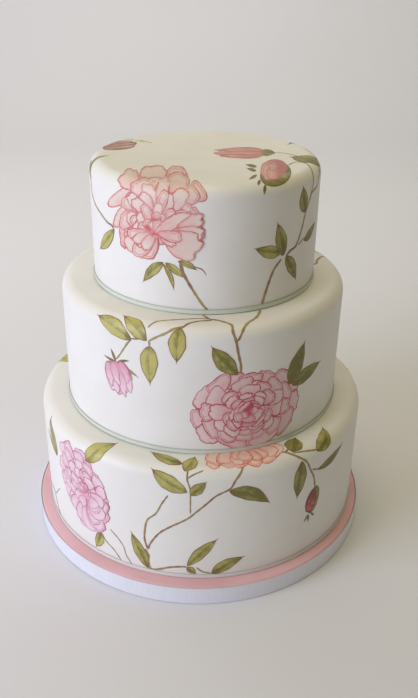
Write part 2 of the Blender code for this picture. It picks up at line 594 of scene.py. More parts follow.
@dataclass(frozen=True)
class TierForm:
    """The outer surface of one iced tier, which its paste and its paint share.

    A place on it is an angle about the axis, from the front and to the right,
    and a distance up the profile: up the side, over the shoulder, inwards.
    """

    name: str
    axis: Vector
    radius: float
    height: float
    phase: float
    shoulder: float = 9.0 * MM
    dip: float = 0.5 * MM

    # The waves that the smoothing hand leaves: height in millimetres, waves round the
    # tier, climb up its height, how much of the tier's phase they take, and their start.
    WAVES: ClassVar[tuple[tuple[float, ...], ...]] = (
        (0.16, 2.0, 0.0, 1.0, 0.0),
        (0.09, 3.0, -4.0, 1.0, 0.0),
        (0.05, 7.0, 5.0, 0.0, 0.0),
        (0.04, 11.0, -7.0, 0.0, 1.3),
    )
    # The shoulder's own wave, in millimetres, and how many shoulders wide it spreads.
    EDGE_WAVE: ClassVar[float] = 0.22
    EDGE_SPREAD: ClassVar[float] = 1.6
    # The side is true up to the first height and as wavy as the rest from the second.
    TRUE_FOOT: ClassVar[Spot] = (4.0 * MM, 16.0 * MM)

    @classmethod
    def of(cls, name: str) -> "TierForm":
        """Read a tier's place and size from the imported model.

        Args:
            name: One of TIER_NAMES.

        Returns:
            The tier's form.
        """
        low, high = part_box("tier_" + name)
        middle = (low + high) / 2.0
        return cls(
            name=name,
            axis=Vector((middle.x, middle.y, low.z)),
            radius=(high.x - low.x) / 2.0,
            height=high.z - low.z,
            phase=2.1 * TIER_NAMES.index(name),
        )

    @property
    def side_end(self) -> float:
        """Distance at which the upright side ends."""
        return self.height - self.shoulder

    @property
    def top_start(self) -> float:
        """Distance at which the flat top starts."""
        return self.side_end + self.shoulder * pi / 2.0

    @property
    def top_radius(self) -> float:
        """Radius of the flat top."""
        return self.radius - self.shoulder

    @property
    def middle(self) -> float:
        """Distance of the top's middle."""
        return self.top_start + self.top_radius

    def _turn(self, distance: float) -> float:
        """How far round the shoulder's arc a distance lies, in radians."""
        return clamp((distance - self.side_end) / self.shoulder, 0.0, pi / 2.0)

    def reach(self, distance: float) -> float:
        """Radius about the axis at a distance up the profile."""
        inward = max(distance - self.top_start, 0.0)
        return self.radius - self.shoulder * (1.0 - cos(self._turn(distance))) - inward

    def distance_at(self, radius: float, height: float) -> float:
        """Find where on the profile a point lies.

        Args:
            radius: The point's radius about the axis.
            height: Its height above the tier's foot.

        Returns:
            Its distance up the profile.
        """
        if height <= self.side_end:
            return max(height, 0.0)
        if radius <= self.top_radius:
            return self.top_start + self.top_radius - radius
        turn = atan2(height - self.side_end, radius - self.top_radius)
        return self.side_end + self.shoulder * turn

    def gap(self, place: Vector) -> float:
        """Measure how far a point stands off the tier's plain round form.

        Args:
            place: The point, from the middle of the tier's foot.

        Returns:
            The distance, in metres, which is below zero inside.
        """
        out = hypot(place.x, place.y) - self.top_radius
        up = place.z - self.side_end
        return hypot(max(out, 0.0), max(up, 0.0)) + min(max(out, up), 0.0) - self.shoulder

    def unevenness(self, angle: float, distance: float) -> float:
        """Find how far the hand-smoothed paste stands off a true round.

        Args:
            angle: Turn about the axis from the front, in radians.
            distance: Distance up the profile, in metres.

        Returns:
            The distance, in metres: none at the foot and at the top's middle.
        """
        share = distance / self.height
        waves = sum(
            height * sin(turns * angle + climb * share + taken * self.phase + start)
            for height, turns, climb, taken, start in self.WAVES
        )
        near_edge = exp(-(((distance - self.top_start) / (self.EDGE_SPREAD * self.shoulder)) ** 2))
        roll = self.EDGE_WAVE * near_edge * sin(4.0 * angle + 1.7 * self.phase + 0.6 * sin(2.0 * angle))
        hold = ease(distance, *self.TRUE_FOOT) * clamp(self.reach(distance) / self.radius * 1.3)
        return (waves + roll) * hold * MM

    def point(self, angle: float, distance: float, lift: float = 0.0) -> Vector:
        """A point on the tier or just off it.

        Args:
            angle: Turn about the axis from the front, in radians.
            distance: Distance up the profile, in metres.
            lift: How far it stands off the paste, in metres.

        Returns:
            The point in the cake's frame.
        """
        turn = self._turn(distance)
        radius = max(self.reach(distance), 0.0)
        height = min(distance, self.side_end) + self.shoulder * sin(turn)
        if distance > self.top_start:
            height -= self.dip * (1.0 - (radius / self.top_radius) ** 2)
        off = lift + self.unevenness(angle, distance)
        radius += off * cos(turn)
        height += off * sin(turn)
        return self.axis + Vector((radius * sin(angle), -radius * cos(angle), height))


class Canvas(ABC):
    """A stretch of a tier's surface with a flat drawing frame in millimetres."""

    tier: TierForm

    @abstractmethod
    def spot(self, x: float, y: float) -> Spot:
        """The angle and distance on the tier, in radians and metres, of a flat point."""

    @abstractmethod
    def flat(self, spot: Spot) -> Vector:
        """The flat point of a spot given in degrees and millimetres."""

    def lay(self, x: float, y: float, lift: float) -> Vector:
        """Wrap a flat point and its lift, all in millimetres, on the tier."""
        angle, distance = self.spot(x, y)
        return self.tier.point(angle, distance, lift * MM)


@dataclass(frozen=True)
class SideCanvas(Canvas):
    """A drawing frame that stands on a tier's side and may run over its edge."""

    tier: TierForm
    angle: float
    distance: float

    # Paint keeps this far from the middle of the top, where the frame would close up.
    MARGIN: ClassVar[float] = 2.0 * MM

    def spot(self, x: float, y: float) -> Spot:
        """The angle and distance on the tier of a flat point."""
        distance = clamp(self.distance + y * MM, 0.0, self.tier.middle - self.MARGIN)
        return self.angle + x * MM / self.tier.reach(distance), distance

    def flat(self, spot: Spot) -> Vector:
        """Find the flat point of a spot.

        Args:
            spot: Its angle in degrees and its distance in millimetres.

        Returns:
            The point, in millimetres.
        """
        angle, distance = radians(spot[0]), spot[1] * MM
        across = (angle - self.angle) * self.tier.reach(distance)
        return Vector((across, distance - self.distance)) / MM


@dataclass(frozen=True)
class SightCanvas(Canvas):
    """A drawing frame square to the eye, for paint that keeps its shape over an edge."""

    tier: TierForm
    anchor: Vector
    eye: Vector

    # The search along a line of sight: its steps, and how far before the frame it starts.
    STEPS: ClassVar[int] = 28
    RUN_UP: ClassVar[float] = 0.1

    @cached_property
    def ahead(self) -> Vector:
        """From the eye to the frame's middle."""
        return self.anchor - self.eye

    @cached_property
    def right(self) -> Vector:
        """The frame's first axis."""
        return self.ahead.cross(UPRIGHT).normalized()

    @cached_property
    def up(self) -> Vector:
        """The frame's second axis."""
        return self.right.cross(self.ahead).normalized()

    def spot(self, x: float, y: float) -> Spot:
        """Follow the line of sight through a flat point until it meets the tier.

        Args:
            x: Millimetres to the right of the frame's middle.
            y: Millimetres above it.

        Returns:
            The angle and distance on the tier, or of the nearest place if it misses.
        """
        target = self.anchor + (self.right * x + self.up * y) * MM
        way = (target - self.eye).normalized()
        place = target - way * self.RUN_UP - self.tier.axis
        best, least = place, self.tier.gap(place)
        for _ in range(self.STEPS):
            place = place + way * self.tier.gap(place)
            if self.tier.gap(place) < least:
                best, least = place, self.tier.gap(place)
        angle = atan2(best.x, -best.y)
        return angle, self.tier.distance_at(hypot(best.x, best.y), best.z)

    def flat(self, spot: Spot) -> Vector:
        """Find the flat point of a spot.

        Args:
            spot: Its angle in degrees and its distance in millimetres.

        Returns:
            The point, in millimetres.
        """
        way = self.tier.point(radians(spot[0]), spot[1] * MM) - self.eye
        place = way * (self.ahead.length_squared / way.dot(self.ahead)) - self.ahead
        return Vector((place.dot(self.right), place.dot(self.up))) / MM


class Curve:
    """A smooth line through a few flat points, read by its share of length."""

    STEPS = 10

    def __init__(self, points: list[Vector]) -> None:
        """Round the line's corners and measure it."""
        ends = [2.0 * points[0] - points[1], *points, 2.0 * points[-1] - points[-2]]
        self.points: list[Vector] = []
        for before, start, end, after in zip(ends, ends[1:], ends[2:], ends[3:]):
            for step in range(self.STEPS):
                self.points.append(self._between(before, start, end, after, step / self.STEPS))
        self.points.append(points[-1])
        self.lengths = [0.0]
        for start, end in zip(self.points, self.points[1:]):
            self.lengths.append(self.lengths[-1] + (end - start).length)

    @staticmethod
    def _between(before: Vector, start: Vector, end: Vector, after: Vector, share: float) -> Vector:
        """Find a point of the rounded line between two of its given points.

        Args:
            before: The given point before those two.
            start: The first of the two.
            end: The second.
            after: The given point after them.
            share: How far it lies from start to end, from 0 to 1.

        Returns:
            The point.
        """
        slope_in = (end - before) / 2.0
        slope_out = (after - start) / 2.0
        square, cube = share**2, share**3
        return (
            start * (2.0 * cube - 3.0 * square + 1.0)
            + slope_in * (cube - 2.0 * square + share)
            + end * (3.0 * square - 2.0 * cube)
            + slope_out * (cube - square)
        )

    @property
    def length(self) -> float:
        """The line's length."""
        return self.lengths[-1]

    def at(self, share: float) -> tuple[Vector, Vector]:
        """The point and the direction at a share of the length.

        Args:
            share: From 0 at the start to 1 at the end.

        Returns:
            The point, and a unit vector along the line.
        """
        wanted = clamp(share) * self.length
        index = 0
        while index < len(self.points) - 2 and self.lengths[index + 1] < wanted:
            index += 1
        start, end = self.points[index], self.points[index + 1]
        span = self.lengths[index + 1] - self.lengths[index]
        inside = (wanted - self.lengths[index]) / span if span > 0.0 else 0.0
        return start.lerp(end, inside), (end - start).normalized()


@dataclass(frozen=True)
class Blade(ABC):
    """The outline of one petal or leaf, drawn from its base, in millimetres.

    It grows from its base at a heading, which is in degrees: 0 to the right
    and 90 up. A bend carries its middle to the left of that heading.
    """

    base: Spot
    heading: float
    length: float
    width: float
    bend: float = 0.0
    chance: float = 0.5

    @abstractmethod
    def edge(self, turn: float) -> Spot:
        """The outline at a turn about its middle, in radians: a half pi is the tip."""

    @property
    def seat(self) -> float:
        """How far up the blade the middle of its rings lies, as a share."""
        return 0.5

    def flat(self, x: float, y: float) -> Spot:
        """Turn and move a point from the blade's own frame to the drawing's.

        Args:
            x: How far it lies to the right of the line from base to tip.
            y: How far up that line it lies.

        Returns:
            The point in the drawing.
        """
        share = clamp(y / self.length)
        x -= self.bend * 4.0 * share * (1.0 - share)
        lean = radians(self.heading - 90.0)
        return (
            self.base[0] + x * cos(lean) - y * sin(lean),
            self.base[1] + x * sin(lean) + y * cos(lean),
        )

    @property
    def extent(self) -> float:
        """Half of the blade's larger size."""
        return max(self.length, self.width) / 2.0

    def discs(self) -> tuple[float, list[Spot]]:
        """Fill the blade roughly with a row of three discs.

        Returns:
            Their radius and their middles.
        """
        radius = min(self.length, self.width) / 2.0
        spread = self.extent - radius
        tall = self.length > self.width
        half = self.length / 2.0
        rows = [(0.0, half + step) if tall else (step, half) for step in (-spread, 0.0, spread)]
        return radius, [self.flat(x, y) for x, y in rows]


@dataclass(frozen=True)
class Petal(Blade):
    """A ruffled petal, narrow at its base and notched at its tip."""

    taper: float = 0.0
    ruffles: int = 3
    frill: float = 0.03
    notch: float = 0.0

    # The frill sets in between these heights, as sines of the turn.
    FRILLED: ClassVar[Spot] = (-0.3, 0.7)
    NOTCH_SPREAD: ClassVar[float] = 0.26

    @property
    def seat(self) -> float:
        """The rings' middle lies a little above the half."""
        return 0.54

    def edge(self, turn: float) -> Spot:
        """Find the outline at a turn about the petal's middle.

        Args:
            turn: The turn in radians: a half pi is the tip.

        Returns:
            The point in the petal's own frame.
        """
        rise, side = sin(turn), cos(turn)
        wave = self.frill * sin(self.ruffles * 2.0 * turn + 17.0 * self.chance)
        wave += 0.5 * self.frill * sin(self.ruffles * 4.0 * turn + 41.0 * self.chance)
        off_tip = turn - pi / 2.0 - 0.5 * (self.chance - 0.5)
        cleft = self.notch * exp(-((off_tip / self.NOTCH_SPREAD) ** 2))
        swell = 1.0 + ease(rise, *self.FRILLED) * (wave - cleft)
        x = self.width / 2.0 * (1.0 + self.taper * rise) * side * swell
        y = self.length * (0.5 + 0.5 * rise * swell)
        return x, y


@dataclass(frozen=True)
class Leaf(Blade):
    """A pointed leaf, widest below its middle, with a slightly wavy edge."""

    waist: float = 0.8

    # The body ends in a fine beak, which is drawn out beyond this share of the length.
    BODY_END: ClassVar[float] = 0.93
    BEAK: ClassVar[float] = 0.16
    FULLNESS: ClassVar[float] = 0.8

    def edge(self, turn: float) -> Spot:
        """Find the outline at a turn about the leaf's middle.

        Args:
            turn: The turn in radians: a half pi is the tip.

        Returns:
            The point in the leaf's own frame.
        """
        share = 0.5 + 0.5 * sin(turn)
        side = 1.0 if cos(turn) >= 0.0 else -1.0
        belly = sin(pi * min(share / self.BODY_END, 1.0) ** self.waist)
        body = max(belly, 0.0) ** self.FULLNESS
        beak = self.BEAK * sqrt(max(1.0 - share, 0.0)) * ease(share, 0.5, 0.8)
        wave = 1.0 + 0.04 * sin(19.0 * share + 31.0 * self.chance + side)
        return side * self.width / 2.0 * max(body, beak) * wave, self.length * share


class PaintPot:
    """Thin closed films of paint that are gathered into one piece.

    Numbers are in millimetres unless they are counts, shares or turns.
    """

    SEGMENTS = 40
    RING_STEP = 1.0
    # The two rings next to the edge lie this far inside it, but no further in than
    # these shares of the way from the middle.
    EDGE_STEPS = (0.45, 1.3)
    EDGE_SHARES = (0.84, 0.62)
    LEAST_DEPTH = 0.35
    LOOK_AHEAD = 0.02
    # The underside of every film is sunk in the icing.
    SUNK = -0.25
    STROKE_SIDES = 6
    STROKE_STEP = 1.4
    # A stroke's ends have this share of its width, and it grows by one whole in TAPER.
    BLUNT = 0.25
    TAPER = 1.6
    WAVER = 0.14
    _blanks: ClassVar[dict[tuple[str, int], bpy.types.Mesh]] = {}

    def __init__(self) -> None:
        """Start with no paint."""
        self.shape = bmesh.new()
        self.place = self.shape.verts.layers.float_vector.new(PLACE)
        self.tone = self.shape.verts.layers.float_vector.new(TONE)

    def _start(self, kind: str, count: int) -> list[bmesh.types.BMVert]:
        """Add a blank to the pot, which a stroke then shapes.

        Args:
            kind: disc or rod.
            count: A disc's rings or a rod's cuts.

        Returns:
            The blank's vertices.
        """
        if (kind, count) not in self._blanks:
            shape = bmesh.new()
            if kind == "disc":
                self._make_disc(shape, count)
            else:
                self._make_rod(shape, count)
            blank = bpy.data.meshes.new(f"blank_{kind}_{count}")
            shape.to_mesh(blank)
            shape.free()
            self._blanks[kind, count] = blank
        start = len(self.shape.verts)
        self.shape.from_mesh(self._blanks[kind, count], face_normals=False, vertex_normals=False)
        self.shape.verts.ensure_lookup_table()
        return self.shape.verts[start:]

    @classmethod
    def clear_blanks(cls) -> None:
        """Remove the blanks once all paint is laid."""
        for blank in cls._blanks.values():
            bpy.data.meshes.remove(blank)
        cls._blanks.clear()

    def _make_disc(self, shape: bmesh.types.BMesh, rings: int) -> None:
        """Make a closed plate of radius 1: ringed top at height 1, plain underside at 0.

        Args:
            shape: Where it is made.
            rings: How many rings the top has.
        """
        profile = [(ring / rings, 1.0) for ring in range(rings + 1)]
        profile += [(radius, 0.0) for radius in (1.0, 0.5, 0.0)]
        turn_profile(shape, profile, self.SEGMENTS, weld=1e-3)

    def _make_rod(self, shape: bmesh.types.BMesh, cuts: int) -> None:
        """Make a closed rod of radius 1 and height 1 about the origin.

        Args:
            shape: Where it is made.
            cuts: How many times it is cut across.
        """
        bmesh.ops.create_cone(
            shape,
            cap_ends=True,
            segments=self.STROKE_SIDES,
            radius1=1.0,
            radius2=1.0,
            depth=1.0,
        )
        sides = [edge for edge in shape.edges if abs(edge.verts[0].co.z - edge.verts[1].co.z) > 0.5]
        bmesh.ops.subdivide_edges(shape, edges=sides, cuts=cuts)

    def dab(self, canvas: Canvas, blade: Blade, lift: float, heart: float) -> None:
        """Lay a film of paint inside a blade's outline.

        Args:
            canvas: Where it is laid.
            blade: The outline.
            lift: Height of its top off the paste, in millimetres.
            heart: How deep its tone is, from 0 to 1.
        """
        middle = (0.0, blade.length * blade.seat)
        rings = len(self.EDGE_STEPS) + max(2, ceil(blade.extent / self.RING_STEP))
        for vert in self._start("disc", rings):
            on_top = vert.co.z > 0.5
            ring = hypot(vert.co.x, vert.co.y) * rings
            turn = atan2(vert.co.y, vert.co.x)
            edge = blade.edge(turn)
            ahead = blade.edge(turn + self.LOOK_AHEAD)
            spoke = Vector((edge[0] - middle[0], edge[1] - middle[1]))
            run = Vector((ahead[0] - edge[0], ahead[1] - edge[1]))
            square = abs(spoke.x * run.y - spoke.y * run.x) / max(run.length, 1e-6)
            depth = max(square, self.LEAST_DEPTH)
            share = self._share(ring, rings, depth) if on_top else ring / rings
            x = middle[0] + share * spoke.x
            y = middle[1] + share * spoke.y
            vert[self.place] = (x, y, (1.0 - share) * depth)
            vert[self.tone] = (clamp(y / blade.length), heart, blade.chance)
            vert.co = canvas.lay(*blade.flat(x, y), lift if on_top else self.SUNK)

    def _share(self, ring: float, rings: int, depth: float) -> float:
        """Find how far out a ring lies: the outer ones hold set distances from the edge.

        Args:
            ring: The ring's number, from the middle.
            rings: How many there are.
            depth: How far the middle lies from the edge.

        Returns:
            Its share of the way from the middle to the edge.
        """
        if ring > rings - 0.5:
            return 1.0
        outer, inner = (
            max(1.0 - step / depth, least) for step, least in zip(self.EDGE_STEPS, self.EDGE_SHARES)
        )
        if ring > rings - 1.5:
            return outer
        return inner * ring / (rings - len(self.EDGE_STEPS))

    def stroke(
        self, canvas: Canvas, points: list[Vector], widths: Spot, lift: float, chance: float
    ) -> None:
        """Lay a brush stroke along a line, round on top and tapered at its ends.

        Args:
            canvas: Where it is laid.
            points: The flat points that it passes.
            widths: Its width at the start and the end.
            lift: Height of its crown off the paste.
            chance: A random share that its finish reads.
        """
        line = Curve(points)
        cuts = max(3, ceil(line.length / self.STROKE_STEP))
        for vert in self._start("rod", cuts):
            share = vert.co.z + 0.5
            spot, way = line.at(share)
            blunt = min(1.0, self.BLUNT + min(share, 1.0 - share) * line.length / self.TAPER)
            width = (widths[0] + (widths[1] - widths[0]) * share) * blunt
            width *= 1.0 + self.WAVER * sin(share * line.length * 0.9 + 23.0 * chance)
            side = vert.co.x * width / 2.0
            x = spot.x + way.y * side
            y = spot.y - way.x * side
            height = lift * vert.co.y if vert.co.y > 0.0 else self.SUNK * -vert.co.y
            vert[self.place] = (side, share * line.length, width / 2.0 - abs(side))
            vert[self.tone] = (share, 0.5, chance)
            vert.co = canvas.lay(x, y, height)

    def piece(self, name: str, material: bpy.types.Material, slot: str) -> bpy.types.Object:
        """Finish the films as one piece of the cake."""
        bmesh.ops.recalc_face_normals(self.shape, faces=self.shape.faces)
        return add_piece(name, self.shape, material)


@dataclass(frozen=True)
class Fan:
    """A round or part of a round of petals that spread from a flower's heart.

    Angles are in degrees, 0 to the right and 90 up. Reach and depth are shares
    of the way from the heart to the flower's outline, and breadth is a petal's
    width as a share of the flower's half size.
    """

    petals: int
    first: float
    last: float
    reach: float
    depth: float
    breadth: float = 0.4
    tone: float = 0.15
    frill: float = 0.05

    @property
    def whole(self) -> bool:
        """Whether the petals go all the way round."""
        return self.last - self.first >= 360.0

    @property
    def spacing(self) -> float:
        """Degrees from one petal to the next."""
        return (self.last - self.first) / (self.petals if self.whole else max(self.petals - 1, 1))

    def order(self) -> list[int]:
        """Every other petal first, so that the rest can overlap both neighbours."""
        return [*range(0, self.petals, 2), *range(1, self.petals, 2)]


class Pose(Enum):
    """How a peony faces whoever looks at the cake."""

    OPEN = "open"
    SIDE = "side"
    LEANING = "leaning"
    TUCKED = "tucked"

    @property
    def heart(self) -> Spot:
        """Where the heart lies, in shares of the half width and half height."""
        return {
            Pose.OPEN: (0.0, -0.06),
            Pose.SIDE: (-0.08, -0.4),
            Pose.LEANING: (0.2, -0.1),
            Pose.TUCKED: (0.0, 3.0),
        }[self]

    def fans(self) -> tuple[Fan, ...]:
        """List the rounds of petals.

        Returns:
            The rounds, the furthest back first.
        """
        if self is Pose.OPEN:
            return (
                Fan(11, -24, 204, 1.0, 0.36, 0.5, 0.08, 0.06),
                Fan(5, 206, 334, 1.0, 0.5, 0.62, 0.08, 0.06),
                Fan(12, 18, 378, 0.84, 0.36, 0.46, 0.12, 0.06),
                Fan(11, 0, 360, 0.68, 0.36, 0.38, 0.2),
                Fan(9, 22, 382, 0.52, 0.32, 0.33, 0.28),
                Fan(7, 50, 410, 0.38, 0.28, 0.28, 0.45),
                Fan(3, 215, 300, 0.44, 0.28, 0.34, 1.7, 0.03),
                Fan(4, 10, 190, 0.3, 0.26, 0.28, 0.8),
                Fan(2, 62, 122, 0.24, 0.3, 0.36, 3.0, 0.03),
                Fan(3, 205, 330, 0.3, 0.26, 0.28, 0.35),
                Fan(2, 190, 350, 0.16, 0.16, 0.2, 0.8),
            )
        if self is Pose.SIDE:
            return (
                Fan(9, -4, 184, 0.95, 0.28, 0.52, 0.05, 0.06),
                Fan(9, 6, 174, 0.82, 0.3, 0.46, 0.08, 0.05),
                Fan(8, 0, 180, 0.74, 0.48, 0.3, 0.12, 0.04),
                Fan(8, 14, 168, 0.6, 0.46, 0.26, 0.18, 0.04),
                Fan(6, 22, 160, 0.44, 0.34, 0.22, 0.32, 0.03),
                Fan(3, 214, 252, 1.0, 0.95, 0.4, 0.2, 0.04),
                Fan(4, 182, 236, 0.72, 0.62, 0.27, 0.32, 0.03),
                Fan(3, 60, 130, 0.28, 0.24, 0.2, 2.2, 0.03),
                Fan(3, 36, 128, 0.18, 0.17, 0.2, 0.4),
                Fan(2, 226, 262, 0.2, 0.2, 0.16, 2.0, 0.03),
                Fan(2, 16, 30, 0.74, 0.68, 0.36, 0.2, 0.07),
                Fan(3, -6, 12, 1.0, 0.62, 0.34, 0.25, 0.07),
                Fan(1, -22, -22, 1.08, 1.02, 0.66, 0.12, 0.09),
                Fan(2, -34, -14, 0.62, 0.56, 0.22, 0.3),
            )
        if self is Pose.LEANING:
            return (
                Fan(9, 34, 196, 1.0, 0.4, 0.4, 0.08, 0.07),
                Fan(8, 42, 184, 0.84, 0.4, 0.35, 0.12, 0.05),
                Fan(7, 36, 192, 0.68, 0.42, 0.3, 0.18, 0.04),
                Fan(6, 50, 176, 0.5, 0.4, 0.28, 0.25, 0.04),
                Fan(3, 200, 240, 0.98, 0.7, 0.4, 0.12, 0.05),
                Fan(3, -26, 22, 1.05, 0.5, 0.34, 0.1, 0.04),
                Fan(3, 4, 60, 0.6, 0.5, 0.36, 0.2, 0.04),
                Fan(4, 246, 318, 1.0, 0.8, 0.5, 0.12, 0.05),
                Fan(3, 256, 312, 0.76, 0.6, 0.42, 0.2, 0.04),
                Fan(2, 268, 300, 0.52, 0.42, 0.36, 0.28),
                Fan(2, 100, 150, 0.24, 0.26, 0.28, 2.0, 0.03),
                Fan(4, 40, 320, 0.2, 0.2, 0.26, 0.5),
                Fan(3, 90, 330, 0.12, 0.22, 0.24, 0.4),
                Fan(2, 198, 222, 0.5, 0.32, 0.26, 0.15, 0.04),
                Fan(2, 108, 160, 0.3, 0.26, 0.16, 2.4, 0.03),
                Fan(3, 84, 130, 0.2, 0.2, 0.16, 1.2, 0.03),
            )
        return (
            Fan(1, 232, 232, 1.06, 0.32, 0.66, 1.4, 0.05),
            Fan(6, 227, 313, 1.0, 0.42, 0.78, 0.12, 0.05),
            Fan(5, 236, 304, 0.92, 0.38, 0.7, 0.2, 0.05),
            Fan(3, 252, 288, 0.86, 0.34, 0.6, 0.3, 0.04),
        )


class Hue(Enum):
    """The mixes of petal paint."""

    BLUSH = "blush"
    CARMINE = "carmine"
    ROSE = "rose"
    CORAL = "coral"
    SALMON = "salmon"
    CRIMSON = "crimson"
    RUSSET = "russet"


@dataclass(frozen=True)
class Peony:
    """A full, many-petalled flower, drawn petal by petal."""

    name: str
    at: Spot
    half_width: float
    half_height: float
    pose: Pose
    seed: int
    hue: Hue
    lean: float = 0.0
    seen: bool = False
    square: float = 0.0

    # The lowest petal's height off the paste and the step to each that overlaps, in mm.
    LIFT: ClassVar[float] = 0.13
    LAYER: ClassVar[float] = 0.017
    # A thin wash under the petals is this share of the flower and this deep in tone.
    GROUND: ClassVar[float] = 0.66
    GROUND_TONE: ClassVar[float] = 0.3
    # Fans that reach further than this are drawn more evenly.
    OUTER_REACH: ClassVar[float] = 0.9
    LEAST_LENGTH: ClassVar[float] = 3.5
    # Petals count as overlapping if two of their discs are nearer than their radii
    # together, times this.
    NEAR: ClassVar[float] = 1.1

    def _outline(self, way: float, heart: Spot) -> float:
        """Find how far the flower's outline lies from its heart.

        Args:
            way: The direction, in radians.
            heart: The heart from the flower's middle, in millimetres.

        Returns:
            The distance, in millimetres: an oval's, with fuller corners by `square`.
        """
        a, b = self.half_width, self.half_height
        ux, uy = cos(way), sin(way)
        hx, hy = heart
        square = (ux / a) ** 2 + (uy / b) ** 2
        slope = ux * hx / a**2 + uy * hy / b**2
        rest = (hx / a) ** 2 + (hy / b) ** 2 - 1.0
        far = (-slope + sqrt(max(slope**2 - square * rest, 0.0))) / square
        corner = sin(2.0 * atan2((hy + far * uy) / b, (hx + far * ux) / a)) ** 2
        return far * (1.0 + self.square * corner)

    def petals(self) -> list[tuple[Petal, float]]:
        """Lay out the petals.

        Returns:
            Each petal with its tone, the furthest back first.
        """
        draw = random.Random(self.seed)
        share = self.pose.heart
        size = sqrt(self.half_width * self.half_height)
        heart = (share[0] * self.half_width, share[1] * self.half_height)
        found: list[tuple[Petal, float]] = []
        for fan in self.pose.fans():
            loose = 0.5 if fan.reach > self.OUTER_REACH else 1.0
            for index in fan.order():
                way = radians(fan.first + fan.spacing * (index + loose * draw.uniform(-0.22, 0.22)))
                far = self._outline(way, heart)
                reach = far * fan.reach * (1.0 + loose * draw.uniform(-0.09, 0.04))
                length = max(far * fan.depth * draw.uniform(0.86, 1.16), self.LEAST_LENGTH)
                inset = reach - length
                base = (heart[0] + inset * cos(way), heart[1] + inset * sin(way))
                petal = Petal(
                    base=self._leaned(base),
                    heading=degrees(way) + self.lean + draw.uniform(-13.0, 13.0),
                    length=length,
                    width=size * fan.breadth * draw.uniform(0.82, 1.18),
                    bend=draw.uniform(-0.09, 0.09) * length,
                    chance=draw.random(),
                    taper=draw.uniform(0.18, 0.36),
                    ruffles=draw.choice((1, 3, 3, 4)),
                    frill=fan.frill * draw.uniform(0.5, 1.4),
                    notch=max(0.0, draw.uniform(-0.06, 0.14)),
                )
                found.append((petal, fan.tone))
        return found

    def _leaned(self, spot: Spot) -> Spot:
        """Turn a flat point with the whole flower.

        Args:
            spot: The point, from the flower's middle.

        Returns:
            Where it lies once the flower leans.
        """
        lean = radians(self.lean)
        return (
            spot[0] * cos(lean) - spot[1] * sin(lean),
            spot[0] * sin(lean) + spot[1] * cos(lean),
        )

    def _ground(self) -> Petal:
        """The plain wash that lies under all petals."""
        width, height = self.GROUND * self.half_width, self.GROUND * self.half_height
        return Petal(self._leaned((0.0, -height)), 90.0 + self.lean, 2.0 * height, 2.0 * width)

    def paint(self, outer: PaintPot, inner: PaintPot, canvas: Canvas, inner_tone: float) -> None:
        """Draw the petals, each just above what it overlaps.

        Args:
            outer: Takes the outer petals.
            inner: Takes the petals round the heart.
            canvas: Where they are laid.
            inner_tone: Petals with a deeper tone than this are inner ones.
        """
        if self.pose is not Pose.TUCKED:
            outer.dab(canvas, self._ground(), self.LIFT - 2.0 * self.LAYER, self.GROUND_TONE)
        laid: list[tuple[float, list[Spot], int]] = []
        for petal, tone in self.petals():
            radius, middles = petal.discs()
            below = [
                layer
                for other, spots, layer in laid
                if any(dist(one, two) < self.NEAR * (other + radius) for one in spots for two in middles)
            ]
            layer = 1 + max(below, default=-1)
            laid.append((radius, middles, layer))
            pot = inner if tone > inner_tone else outer
            pot.dab(canvas, petal, self.LIFT + self.LAYER * layer, tone)


@dataclass(frozen=True)
class LeafMark:
    """Where one leaf is painted, in degrees and millimetres on its tier.

    One that is seen keeps its shape as looked at from the front.
    """

    base: Spot
    tip: Spot
    width: float
    bend: float
    depth: float
    seen: bool = False


@dataclass(frozen=True)
class StemMark:
    """Where one stem is painted, in degrees and millimetres on its tier."""

    route: tuple[Spot, ...]
    widths: Spot


@dataclass(frozen=True)
class BudMark:
    """A closed flower, from its neck to its tip."""

    neck: Spot
    tip: Spot
    width: float
    hue: Hue
    ruffled: bool = True
    seen: bool = False


@dataclass(frozen=True)
class HipMark:
    """A ripe hip over its olive shade, with a crown of short dashes."""

    neck: Spot
    end: Spot
    width: float
    hue: Hue
    shade: Spot
    dashes: tuple[tuple[Spot, Spot], ...]
    seen: bool = False


@dataclass(frozen=True)
class Spray:
    """A group of painted stems, leaves and flowers on one tier."""

    name: str
    tier: str
    seed: int
    stems: tuple[StemMark, ...] = ()
    leaves: tuple[LeafMark, ...] = ()
    peonies: tuple[Peony, ...] = ()
    buds: tuple[BudMark, ...] = ()
    hips: tuple[HipMark, ...] = ()
    turn: float = 0.0

    def again(self, name: str, turn: float, seed: int) -> "Spray":
        """The same group painted once more, further round the tier.

        Args:
            name: The new group's name.
            turn: How far round it goes, in degrees.
            seed: Seed of its random draws, so that no petal is the same.

        Returns:
            The new group.
        """
        peonies = tuple(replace(flower, seed=flower.seed + seed) for flower in self.peonies)
        return replace(self, name=name, turn=turn, seed=self.seed + seed, peonies=peonies)


# A bud's petals, the furthest back first: turn in degrees, shift to the left and
# width as shares of the bud's width, and length as a share of its length.
BUD_PETALS = (
    (0.0, 0.0, 0.98, 0.9),
    (4.0, 0.2, 0.88, 0.58),
    (-3.0, -0.2, 0.93, 0.58),
    (1.0, 0.04, 1.0, 0.44),
    (-6.0, -0.26, 0.72, 0.34),
    (6.0, 0.26, 0.64, 0.34),
    (-1.0, -0.06, 0.7, 0.36),
)
# A slim bud, which is up to a third as wide as it is long, shows only the first few.
SLIM_PETALS = 4
SLIM = 0.5

# A hip's washes of flesh: turn in degrees, and length and width as shares of the hip's.
HIP_FLESH = ((0.0, 0.86, 0.86), (11.0, 0.7, 0.6), (-12.0, 0.58, 0.38))


